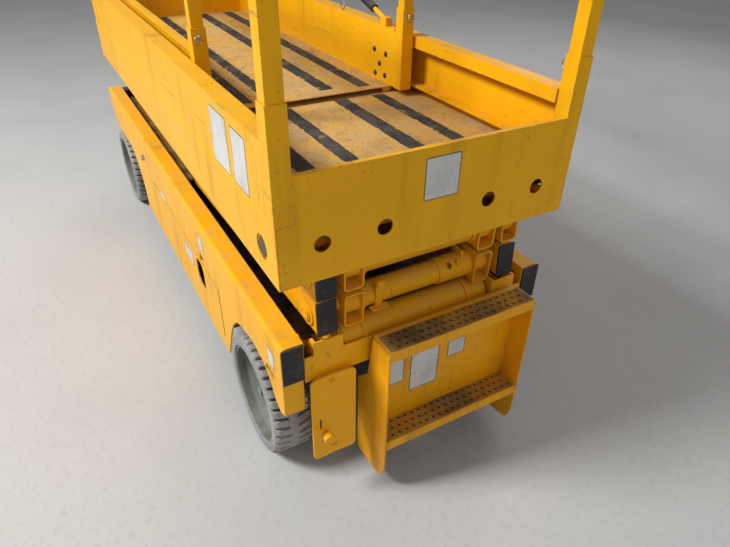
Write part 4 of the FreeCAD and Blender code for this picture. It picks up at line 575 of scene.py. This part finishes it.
print("x is counted from", REAR_FACE, "m")

# %% [markdown]
# ### From shape to piece
# A bmesh is only a shape. To show it needs a mesh, a finish and an object, and here also a body of the
# machine that carries it when a joint moves. Doing this in one function means that no piece can be left
# behind, since none gets into the scene without naming its body.

# %% From shape to piece
def piece(name, shape, material, body, ease=0.0):
    """Turns a shape into an object that rides on a body and carries the finish it is given."""
    bmesh.ops.recalc_face_normals(shape, faces=shape.faces)
    mesh = bpy.data.meshes.new(name)
    shape.to_mesh(mesh)
    shape.free()
    mesh.materials.append(material)
    mesh.shade_smooth()
    mesh.set_sharp_from_angle(angle=SMOOTH_LIMIT)
    made = bpy.data.objects.new(name, mesh)
    bpy.context.scene.collection.objects.link(made)
    if ease:
        bevel = made.modifiers.new("edges", "BEVEL")
        bevel.width = ease
        bevel.segments = 2
        bevel.limit_method = "ANGLE"
        bevel.angle_limit = BEVEL_LIMIT
    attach(made, body)
    print(name, "faces", len(mesh.polygons), "on", body)
    return made


# %% [markdown]
# ## Tyres
# The solid tyres have short slanted grooves that open at both shoulders and leave a plain rib down the
# middle. Each groove could be cut out with a boolean, which leaves ragged faces. Instead the tread is a
# grid round the wheel: where a groove passes, the grid's points drop to the groove's floor. The tyre
# keeps the outline of the CAD tyre that it replaces.

# %% Rows across a tyre
TYRE_RADIUS = 191.0
TYRE_WIDTH = 120.0
RIM_RADIUS = 152.0
GROOVES = 38
GROOVE_FLOOR = 184.0
GROOVE_SLANT = 0.075
SIDEWALL = [(RIM_RADIUS + 0.3, 4.0), (155.0, 1.0), (170.0, 0.5), (174.0, 1.8),
            (179.0, 0.8), (183.0, 3.5), (188.0, 8.0), (191.0, 12.5)]
TREAD_ROWS = [16.0, 26.0, 36.0, 46.0, 48.5]
GROOVE_STEPS = [0.0, 0.08, 0.30, 0.38, 0.70]


def tyre_rows():
    """(radius, distance in from the outer face, groove runs here) across the tyre."""
    half = [(radius, depth, radius > GROOVE_FLOOR) for radius, depth in SIDEWALL]
    half += [(TYRE_RADIUS, depth, depth < TREAD_ROWS[-1]) for depth in TREAD_ROWS]
    other = [(radius, TYRE_WIDTH - depth, grooved) for radius, depth, grooved in reversed(half)]
    return half + other


def tyre_ring(shape, centre, y, radius, slant, grooved):
    """One closed row of points round the tyre."""
    ring = []
    for k in range(GROOVES):
        for step in GROOVE_STEPS:
            inside = grooved and GROOVE_STEPS[1] <= step <= GROOVE_STEPS[2]
            reach = (GROOVE_FLOOR if inside else radius) / 1000
            angle = 2 * math.pi * (k + step) / GROOVES + slant
            place = (centre.x + reach * math.cos(angle), y, centre.z + reach * math.sin(angle))
            ring.append(shape.verts.new(place))
    return ring


print("rows across a tyre", len(tyre_rows()))

# %% Grooved tyres
def make_tyre(name, node, body, side):
    """A grooved tyre that stands for the CAD tyre."""
    low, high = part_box(node)
    centre = (low + high) / 2
    y_outer = high.y if side > 0 else low.y
    shape = bmesh.new()
    rings = []
    rows = tyre_rows()
    for radius, depth, grooved in rows:
        slant = GROOVE_SLANT * (1 - abs(depth - TYRE_WIDTH / 2) / (TYRE_WIDTH / 2))
        rings.append(tyre_ring(shape, centre, y_outer - side * depth / 1000, radius, slant, grooved))
    for index, (near, far) in enumerate(zip(rings, rings[1:])):
        in_groove = rows[index][2] and rows[index + 1][2]
        for k, face in enumerate(join_rows(shape, near, far)):
            # Faces on the groove floors take the second finish, which is painted shade.
            face.material_index = 1 if in_groove and k % len(GROOVE_STEPS) == 1 else 0
    join_rows(shape, rings[-1], rings[0])
    tyre = piece(name, shape, MATERIALS["tyre_rubber"], body)
    tyre.data.materials.append(GROOVE_SHADE)
    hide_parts(node)


for end in ("rear", "front"):
    for name, side in (("left", 1), ("right", -1)):
        wheel = end + "_" + name
        make_tyre("grooved_tyre_" + wheel, "tyre_" + wheel, wheel + "_wheel", side)

# %% [markdown]
# ## Hub fasteners
# A split pin locks each wheel's castle nut, and a ring of small bolts holds the hub in the dished disc. The
# bolts could be copies of one object, but as one mesh they turn with the wheel as one piece.

# %% A bolt with its washer
def hex_bolt(shape, centre, axis, across):
    """A washer and a chamfered hexagon head."""
    turned(shape, centre, axis, [(across * 0.95, 0), (across * 0.95, 1.2), (across * 0.9, 1.6)], 20)
    head = across * 0.577
    turned(shape, centre, axis, [(head, 1.6), (head, across * 0.5), (head * 0.84, across * 0.58)], 6)


# %% Split pins and hub bolts
WHEEL_X = {"rear": 292.0, "front": 2180.0}
DISC_Y = 364.0
NUT_FRONT_Y = 384.0
NUT_CAP = [(13, -10), (13, 2), (10.5, 4.5), (3, 5)]
PIN_HALF = 20
PIN_TILT = 3
PIN_THICK = 2.6
HUB_BOLTS = 8
HUB_BOLT_CIRCLE = 76.0
HUB_BOLT_TURN = 22
for end, x in WHEEL_X.items():
    for name, side in (("left", 1), ("right", -1)):
        shape = bmesh.new()
        pin_y = side * (NUT_FRONT_Y - 2)
        pin_start = spot(x - PIN_HALF, pin_y, TYRE_RADIUS + PIN_TILT)
        pin_end = spot(x + PIN_HALF, pin_y, TYRE_RADIUS - PIN_TILT)
        bar(shape, pin_start, pin_end, PIN_THICK, 8)
        turned(shape, spot(x, side * (NUT_FRONT_Y + 4), TYRE_RADIUS), (0, side, 0), NUT_CAP, 24)
        for k in range(HUB_BOLTS):
            angle = math.radians(360 / HUB_BOLTS * k + HUB_BOLT_TURN)
            place = spot(x + HUB_BOLT_CIRCLE * math.cos(angle), side * DISC_Y,
                         TYRE_RADIUS + HUB_BOLT_CIRCLE * math.sin(angle))
            hex_bolt(shape, place, (0, side, 0), 11)
        piece("hub_fasteners_" + end + "_" + name, shape, ZINC, end + "_" + name + "_wheel")

# %% [markdown]
# ## Grip strips on the decks
# Strips of sanded tape run along both decks. They could be painted on as a mask, but real tape is thick
# enough to throw a thin shadow. Their edges are torn and chewed by boots, so each edge point is pushed in
# or out a little, and the ends are ragged.

# %% One torn strip
random.seed(7)
STRIP_THICK = 0.9
STRIP_FOOT = 0.05
STRIP_STEP = 11.0
END_TAPER = 2.5
END_SHIFT = 2


def torn_push():
    """How far one edge point of a strip stands out, or in where a boot has torn the tape."""
    push = random.uniform(-1.3, 1.3)
    if random.random() < 0.10:
        push -= random.uniform(0, 7)
    return push


def grip_strip(shape, x_from, x_to, y, width, z):
    """One strip with ragged edges."""
    count = int((x_to - x_from) / STRIP_STEP)
    rows = []
    for k in range(count + 1):
        x = x_from + (x_to - x_from) * k / count
        taper = END_TAPER if k in (0, count) else 0.0
        pushes = [torn_push(), torn_push()]
        if taper:
            x += random.uniform(-END_SHIFT, END_SHIFT)
        rows.append([(x, y + edge * (width / 2 + push - taper)) for edge, push in zip((-1, 1), pushes)])
    tops = [[shape.verts.new(spot(px, py, z + STRIP_THICK)) for px, py in row] for row in rows]
    feet = [[shape.verts.new(spot(px, py, z + STRIP_FOOT)) for px, py in row] for row in rows]
    for k in range(count):
        shape.faces.new((tops[k][0], tops[k + 1][0], tops[k + 1][1], tops[k][1]))
        shape.faces.new((feet[k][1], feet[k + 1][1], feet[k + 1][0], feet[k][0]))
        shape.faces.new((feet[k][0], feet[k + 1][0], tops[k + 1][0], tops[k][0]))
        shape.faces.new((tops[k][1], tops[k + 1][1], feet[k + 1][1], feet[k][1]))
    shape.faces.new((feet[0][0], tops[0][0], tops[0][1], feet[0][1]))
    shape.faces.new((feet[-1][1], tops[-1][1], tops[-1][0], feet[-1][0]))


# %% Strips on both decks
DECK_TOP = 885.0
EXTENSION_TOP = 905.0
DECK_STRIP_START = 52
EXTENSION_STRIP_END = 2225
DECK_STRIPS = ((210, 50, 728), (82, 44, 724), (-118, 50, 729), (-256, 46, 722))
EXTENSION_STRIPS = ((190, 52, 772), (100, 40, 800), (-100, 48, 790), (-230, 46, 768))
shape = bmesh.new()
for y, width, x_end in DECK_STRIPS:
    grip_strip(shape, DECK_STRIP_START, x_end, y, width, DECK_TOP)
piece("grip_strips_main_deck", shape, GRIP_TAPE, "platform")
shape = bmesh.new()
for y, width, x_start in EXTENSION_STRIPS:
    grip_strip(shape, x_start, EXTENSION_STRIP_END, y, width, EXTENSION_TOP)
piece("grip_strips_extension", shape, GRIP_TAPE, "extension")

# %% [markdown]
# ## Ladder treads
# Both treads are punched with rows of holes whose rims stand up to bite into a boot. Cutting the holes
# through the sheet would need more than a hundred booleans. A thin skin carries the worn finish of the
# tread instead, with a raised rim for each hole and a near-black disc of painted shade in it, which stands
# for the open hole and reads the same at this size.

# %% Punched treads
TREAD_Y = (-299.0, 161.0)
TREAD_PITCH = 23.0
HOLE_ROWS = 3
HOLE_MARGIN = 16
HOLE_CLEAR = 20
SKIN_THICK = 0.5
PUNCHED_RIM = [(6.6, 0), (6.3, 1.0), (5.2, 2.4), (4.4, 2.6), (4.0, 2.0), (3.9, 0.6)]
HOLE_DISC = [(3.85, 0), (3.85, 0.3)]
TREADS = {"tread_top": (-73, -8, 535.0), "tread_low": (-69, -2, 205.0)}


def block(shape, low, high):
    """A block between two corners."""
    made = bmesh.ops.create_cube(shape, size=1.0)
    bmesh.ops.scale(shape, vec=high - low, verts=made["verts"])
    bmesh.ops.translate(shape, vec=(low + high) / 2, verts=made["verts"])


def punched_tread(name, x_from, x_to, z):
    """Worn skin, raised rims, and discs of painted shade for the holes of one tread."""
    skin, holes = bmesh.new(), bmesh.new()
    block(skin, spot(x_from, TREAD_Y[0] + 1, z), spot(x_to, TREAD_Y[1] - 1, z + SKIN_THICK))
    count = int((TREAD_Y[1] - TREAD_Y[0] - HOLE_CLEAR) / TREAD_PITCH)
    for row in range(HOLE_ROWS):
        x = x_from + (x_to - x_from) * (row + 0.5) / HOLE_ROWS
        for k in range(count):
            y = TREAD_Y[0] + HOLE_MARGIN + TREAD_PITCH * (k + 0.5 * (row % 2))
            turned(skin, spot(x, y, z), (0, 0, 1), PUNCHED_RIM, 14)
            turned(holes, spot(x, y, z + SKIN_THICK), (0, 0, 1), HOLE_DISC, 14)
    piece(name, skin, TREAD_WORN, "chassis")
    piece(name + "_holes", holes, HOLE_SHADE, "chassis")


for name, (x_from, x_to, z) in TREADS.items():
    punched_tread(name, x_from, x_to, z)

# %% [markdown]
# ## Stickers
# The machine carries small stickers. They are kept as blank plates: a dark rim and a pale, slightly
# soiled face, with no words or signs. A picture could be laid on the paint, but two thin plates with
# rounded corners have true edges from every side and need no picture.

# %% One blank sticker
CORNER_RADIUS = 4.0
STICKER_LAYERS = (("rim", 0.0, 0.25, STICKER_EDGE), ("face", 2.2, 0.45, STICKER))
STICKER_FOOT = 0.00002


def sticker(name, body, corner, along, up, width, height):
    """A blank sticker with a thin dark rim, given by its corner and two edge directions."""
    along, up = Vector(along).normalized(), Vector(up).normalized()
    outward = along.cross(up)
    radius = CORNER_RADIUS
    turns = ((width - radius, radius, -90), (width - radius, height - radius, 0),
             (radius, height - radius, 90), (radius, radius, 180))
    for part, inset, lift, material in STICKER_LAYERS:
        shape = bmesh.new()
        points = []
        for cx, cy, start in turns:
            for k in range(5):
                angle = math.radians(start + 22.5 * k)
                px = cx + (radius - inset) * math.cos(angle)
                py = cy + (radius - inset) * math.sin(angle)
                points.append(corner + along * px / 1000 + up * py / 1000)
        low = [shape.verts.new(point + outward * STICKER_FOOT) for point in points]
        high = [shape.verts.new(point + outward * lift / 1000) for point in points]
        shape.faces.new(high)
        shape.faces.new(list(reversed(low)))
        join_rows(shape, low, high)
        piece("sticker_" + name + "_" + part, shape, material, body)


# %% Stickers on the machine
BACK, RIGHT, UP = (-1, 0, 0), (0, -1, 0), (0, 0, 1)
PANEL_Y, TOE_Y, BEAM_Y, DOOR_Y = 405.0, 402.0, 406, 407
STICKERS = [
    ("side_front", "platform", (390, TOE_Y, 911), BACK, (124, 138)),
    ("side_rear", "platform", (238, TOE_Y, 911), BACK, (94, 134)),
    ("end_plate", "platform", (0, 48, 884), RIGHT, (96, 104)),
    ("beam_rear", "chassis", (126, BEAM_Y, 458), BACK, (44, 54)),
    ("beam_middle", "chassis", (752, BEAM_Y, 450), BACK, (52, 60)),
    ("skirt_front", "chassis", (1332, BEAM_Y, 345), BACK, (78, 82)),
    ("tray_door", "left_tray", (988, DOOR_Y, 306), BACK, (106, 58)),
    ("ladder_0", "chassis", (0, 150, 338), RIGHT, (81, 98)),
    ("ladder_1", "chassis", (0, 47, 287), RIGHT, (93, 150)),
    ("ladder_2", "chassis", (0, -77, 361), RIGHT, (60, 58)),
]
for name, body, corner, along, (width, height) in STICKERS:
    sticker(name, body, spot(*corner), along, UP, width, height)

# %% [markdown]
# ## Chassis bolts
# Small zinc bolts hold the chassis ends, a larger one stands out of each beam, and the service plate's two
# bolts were painted over with it. They are built in place, since a few heads cost almost nothing.

# %% Chassis bolts
END_BOLT_HEIGHTS = (352, 376)
SERVICE_BOLTS = ((280, 420), (278, 177))
shape = bmesh.new()
for side in (1, -1):
    for z in END_BOLT_HEIGHTS:
        hex_bolt(shape, spot(34.5, side * 350, z), (0, -side, 0), 11)
    hex_bolt(shape, spot(1606, side * BEAM_Y, 457), (0, side, 0), 19)
piece("chassis_bolts", shape, ZINC, "chassis")

shape = bmesh.new()
for y, z in SERVICE_BOLTS:
    hex_bolt(shape, spot(14.4, y, z), BACK, 13)
piece("service_plate_bolts", shape, MATERIALS["chassis_paint"], "chassis")

# %% [markdown]
# ## Chassis welds
# The folded sheets are closed with short weld beads. A bead could be relief in the paint, but it also
# shows in outline. It is a thin bar whose radius rises and falls, with a little chance in each ripple.

# %% Weld beads
def weld(shape, start, end, radius=2.6):
    """A rippled weld bead along a seam."""
    length = (end - start).length * 1000
    count = max(4, int(length / 4.5))
    profile = [(radius * 0.4, 0)]
    for k in range(1, count):
        ripple = 0.82 + 0.18 * (k % 2) + random.uniform(-0.06, 0.06)
        profile.append((radius * ripple, length * k / count))
    profile.append((radius * 0.4, length))
    turned(shape, start, end - start, profile, 8)


SIDE_SEAMS = [((32, 344, 434), (32, 344, 508), 2.6),
              ((37, 344, 434), (37, 344, 508), 2.6),
              ((70, 345, 563), (60, 345, 563), 2.6)]
SIDE_SEAMS += [((40, y, 411.5), (196, y, 411.5), 3.0) for y in (236, 248, 311, 319)]
LADDER_EDGES = (162, -300)
LADDER_SEAMS = ((236, 296), (350, 410), (460, 520))
shape = bmesh.new()
for side in (1, -1):
    for (x, y, z), (x_end, y_end, z_end), radius in SIDE_SEAMS:
        weld(shape, spot(x, side * y, z), spot(x_end, side * y_end, z_end), radius)
for y in LADDER_EDGES:
    for z_from, z_to in LADDER_SEAMS:
        weld(shape, spot(-0.5, y, z_from), spot(-0.5, y, z_to), 2.4)
piece("chassis_welds", shape, MATERIALS["chassis_paint"], "chassis")

# %% [markdown]
# ## Pin keepers on the arms
# Each arm turns on a pin, and a round keeper with a dished middle closes the pin's end. The keepers could
# sit on the pins alone, but they are painted with the arms, so each set rides on its outer arms.

# %% Pin keepers
PIVOT_X, PIVOT_Z, RISE, REACH = 88.0, 500.0, 107.0, 2097.27
BOSS_FACE = 314.0
KEEPER = [(20, 0), (20, 2.2), (18.5, 3), (11, 3), (9, 1.2)]
PIN_PLACES = {
    "first_outer_arms": [(PIVOT_X, PIVOT_Z + RISE)],
    "second_outer_arms": [(PIVOT_X, PIVOT_Z + 2 * RISE), (PIVOT_X + REACH, PIVOT_Z + RISE)],
    "third_outer_arms": [(PIVOT_X + REACH, PIVOT_Z + 2 * RISE)],
}
for body, places in PIN_PLACES.items():
    shape = bmesh.new()
    for x, z in places:
        for side in (1, -1):
            turned(shape, spot(x, side * BOSS_FACE - side * 0.5, z), (0, side, 0), KEEPER, 28)
    piece("pin_keepers_" + body, shape, MATERIALS["arm_paint"], body)

# %% [markdown]
# ## Post pins
# The rail posts fold down, so each stands in a sleeve and is held by a cross pin with a pull ring. A torus
# primitive would need turning and joining. A wire swept round a circle goes straight into the mesh of
# the pins, in whatever plane the ring hangs.

# %% Rings and pins of the posts
SLEEVE_SIZE = 44.0
FRONT_POST_X = 2180.0
EXT_SLEEVE_REAR = 667.5
EXT_SLEEVE_Y = 329.5
RING_SIZE = 10.0
RING_WIRE = 1.5
POST_PIN = [(6.5, 0), (6.5, 2.5), (5, 3.5), (4, 9), (2.5, 10)]


def hoop(shape, centre, first, second, size, thick, steps=28, sides=8):
    """A closed ring of wire in the plane of two square directions, in millimetres about a centre."""
    first, second = Vector(first), Vector(second)
    rings = []
    for k in range(steps):
        angle = 2 * math.pi * k / steps
        outward = math.cos(angle) * first + math.sin(angle) * second
        ring = []
        for j in range(sides):
            turn = 2 * math.pi * j / sides
            lift = thick * math.sin(turn) * first.cross(second)
            ring.append(shape.verts.new(centre + ((size + thick * math.cos(turn)) * outward + lift) / 1000))
        rings.append(ring)
    for near, far in zip(rings, rings[1:] + rings[:1]):
        join_rows(shape, near, far)


def post_pin(shape, x, y, z, facing, centre, level):
    """Pin head on a sleeve's face, and its upright pull ring about a centre, along a level direction."""
    turned(shape, spot(x, y, z), (facing, 0, 0), POST_PIN, 16)
    hoop(shape, spot(*centre), level, UP, RING_SIZE, RING_WIRE)


shape = bmesh.new()
for side in (1, -1):
    y = side * (PANEL_Y - SLEEVE_SIZE / 2)
    for x, facing in ((SLEEVE_SIZE, 1), (FRONT_POST_X - SLEEVE_SIZE / 2, -1)):
        post_pin(shape, x, y, 1132, facing, (x + facing * 16.5, y, 1124), (1, 0, 0))
piece("platform_post_pins", shape, ZINC, "platform")

shape = bmesh.new()
for side in (1, -1):
    x, y = EXT_SLEEVE_REAR, side * EXT_SLEEVE_Y
    post_pin(shape, x, y, 1134, -1, (x - 6, y + side * 5, 1125.5), (0, 1, 0))
piece("extension_post_pins", shape, ZINC, "extension")

# %% [markdown]
# ## Gusset bolts
# A plate stiffens the foot of each rear post of the sliding deck. Its five dark bolts show on the inner
# face, scattered as in the photograph, so their places are a plain list and not a pattern.

# %% Gusset bolts
SIDE_Y = 312.0
GUSSET_BOLTS = ((769, 1000), (844, 1003), (808, 962), (771, 930), (835, 925))
shape = bmesh.new()
for side in (1, -1):
    for x, z in GUSSET_BOLTS:
        hex_bolt(shape, spot(x, side * SIDE_Y, z), (0, -side, 0), 10)
piece("gusset_bolts", shape, MATERIALS["dark_steel"], "extension")

# %% [markdown]
# ## Latch lever and ring
# A lever on the right side of the sliding deck lets it go, so that it can be pushed out. It is a painted
# bar in a small block with a black grip over its end. A wire ring stands further forward on the flange.

# %% Latch lever and ring of the extension
shape = bmesh.new()
block(shape, spot(782, -340, 1084), spot(818, -316, 1110))
bar(shape, spot(790, -328, 1098), spot(884, -328, 1126), 8)
piece("latch_lever", shape, MATERIALS["platform_paint"], "extension", 0.0015)
shape = bmesh.new()
bar(shape, spot(876, -328, 1123.5), spot(978, -328, 1154), 14, 20)
piece("latch_grip", shape, MATERIALS["black_plastic"], "extension")
shape = bmesh.new()
hoop(shape, spot(1110, -327, 1098), (1, 0, 0), UP, 14.0, 2.6, 32)
piece("flange_ring", shape, ZINC, "extension")

# %% [markdown]
# ## Platform welds
# The sleeves are welded to the platform's side panels, and the end plate is closed at its corners. These
# seams take the same kind of bead as the chassis, so the helper from there is used again.

# %% Platform welds
PANEL_SEAMS = (44, 2158, 2202)
PANEL_WELD = 2.4
shape = bmesh.new()
for side in (1, -1):
    for x in PANEL_SEAMS:
        weld(shape, spot(x, side * 403, 912), spot(x, side * 403, 1070), PANEL_WELD)
    weld(shape, spot(2, side * 360, 912), spot(2, side * 360, 1008), PANEL_WELD)
piece("platform_welds", shape, MATERIALS["platform_paint"], "platform")

# %% [markdown]
# ## Control box
# The box on the front rail has a sloped face with a joystick, a red stop button and a few plain
# switches. It lies outside the photograph, so it follows the usual kind, with nothing written on it. Each
# control is a turned form that stands square on the slope, so one helper gives points on that face.

# %% Controls
FACE_CENTRE = (2088, 1800)
FACE_SLOPE = (60, 0, 100)
FACE_NORMAL = Vector((-100, 0, 60)).normalized()
JOYSTICK = [(24, 0), (24, 4), (17, 9), (12, 12), (7, 20), (6.5, 62), (11, 66), (13, 84), (9, 92), (3, 93)]
TOGGLE = [(7, 0), (7, 3), (3, 4), (2.4, 16), (1.5, 17)]
PUSH_BUTTON = [(10, 0), (10, 3), (8, 4), (7.4, 6.5), (3, 7)]
STOP_BUTTON = [(12, 0), (12, 10), (20, 13), (21, 20), (17, 26), (6, 28)]


def on_face(y, along):
    """A point on the sloped face, along being millimetres up the slope."""
    slope = Vector(FACE_SLOPE).normalized()
    return spot(FACE_CENTRE[0], y, FACE_CENTRE[1]) + slope * along / 1000


shape = bmesh.new()
turned(shape, on_face(-225, 55), FACE_NORMAL, JOYSTICK, 24)
for y in (-180, -156):
    turned(shape, on_face(y, 40), FACE_NORMAL, TOGGLE, 16)
for y in (-176, -150, -124):
    turned(shape, on_face(y, 82), FACE_NORMAL, PUSH_BUTTON, 20)
piece("control_levers", shape, MATERIALS["black_plastic"], "extension")
shape = bmesh.new()
turned(shape, on_face(-118, 40), FACE_NORMAL, STOP_BUTTON, 28)
piece("control_stop_button", shape, STOP_RED, "extension")

# %% [markdown]
# ## Floor
# The machine stands on a plain pale floor. A white backdrop would lose the shadow's edge, so the floor is a
# light grey with faint patches, wide enough that its rim stays far behind the machine.

# %% Floor
FLOOR_SIZE = 40.0
floor_finish = Finish("pale_floor", (0.52, 0.52, 0.51), 0.8)
floor_finish.lay(floor_finish.mask(BLOTCHES, scale=1.3, low=0.40, high=0.70), (0.47, 0.47, 0.465), None, 0.7)
floor_finish.lay(floor_finish.mask(BLOTCHES, scale=45.0, low=0.50, high=0.70), (0.44, 0.44, 0.43), None, 0.5)
floor_finish.raise_by(noise(floor_finish.tree, floor_finish.place, 160.0, 4.0), 0.0006)
half = FLOOR_SIZE / 2
corners = [(-half, -half, 0), (half, -half, 0), (half, half, 0), (-half, half, 0)]
floor_mesh = bpy.data.meshes.new("floor")
floor_mesh.from_pydata(corners, [], [(0, 1, 2, 3)])
floor_mesh.materials.append(floor_finish.done())
floor = bpy.data.objects.new("floor", floor_mesh)
bpy.context.scene.collection.objects.link(floor)
print("floor", FLOOR_SIZE, "m square")

# %% [markdown]
# ## Light
# The sun stood to the machine's left. One small lamp would give its hard shadows, but soft boxes show the
# shape of every piece. The strongest stands on the left, so the left side is bright and the rear plate
# is in half shade. A weak one fills the rear, one fills the far side, and the world fills the rest.

# %% Lights and world
AIM = Vector((0, 0, 0.8))
SOFT_BOXES = {
    "key": ((0.4, 4.6, 5.0), 1.6, 470),
    "rear_fill": ((-5.0, 0.5, 3.0), 3.5, 38),
    "far_side": ((1.5, -4.5, 4.0), 4.0, 60),
}
WORLD_COLOUR = (0.98, 0.98, 1.0, 1)
WORLD_STRENGTH = 0.24
for name, (place, size, power) in SOFT_BOXES.items():
    data = bpy.data.lights.new(name, "AREA")
    data.size = size
    data.energy = power
    light = bpy.data.objects.new(name, data)
    light.location = place
    light.rotation_euler = (AIM - Vector(place)).to_track_quat("-Z", "Y").to_euler()
    bpy.context.scene.collection.objects.link(light)
world = bpy.data.worlds.new("studio")
world.use_nodes = True
world.node_tree.nodes["Background"].inputs["Color"].default_value = WORLD_COLOUR
world.node_tree.nodes["Background"].inputs["Strength"].default_value = WORLD_STRENGTH
bpy.context.scene.world = world
bpy.context.scene.view_settings.view_transform = "Standard"
print("lights", len(bpy.data.lights))
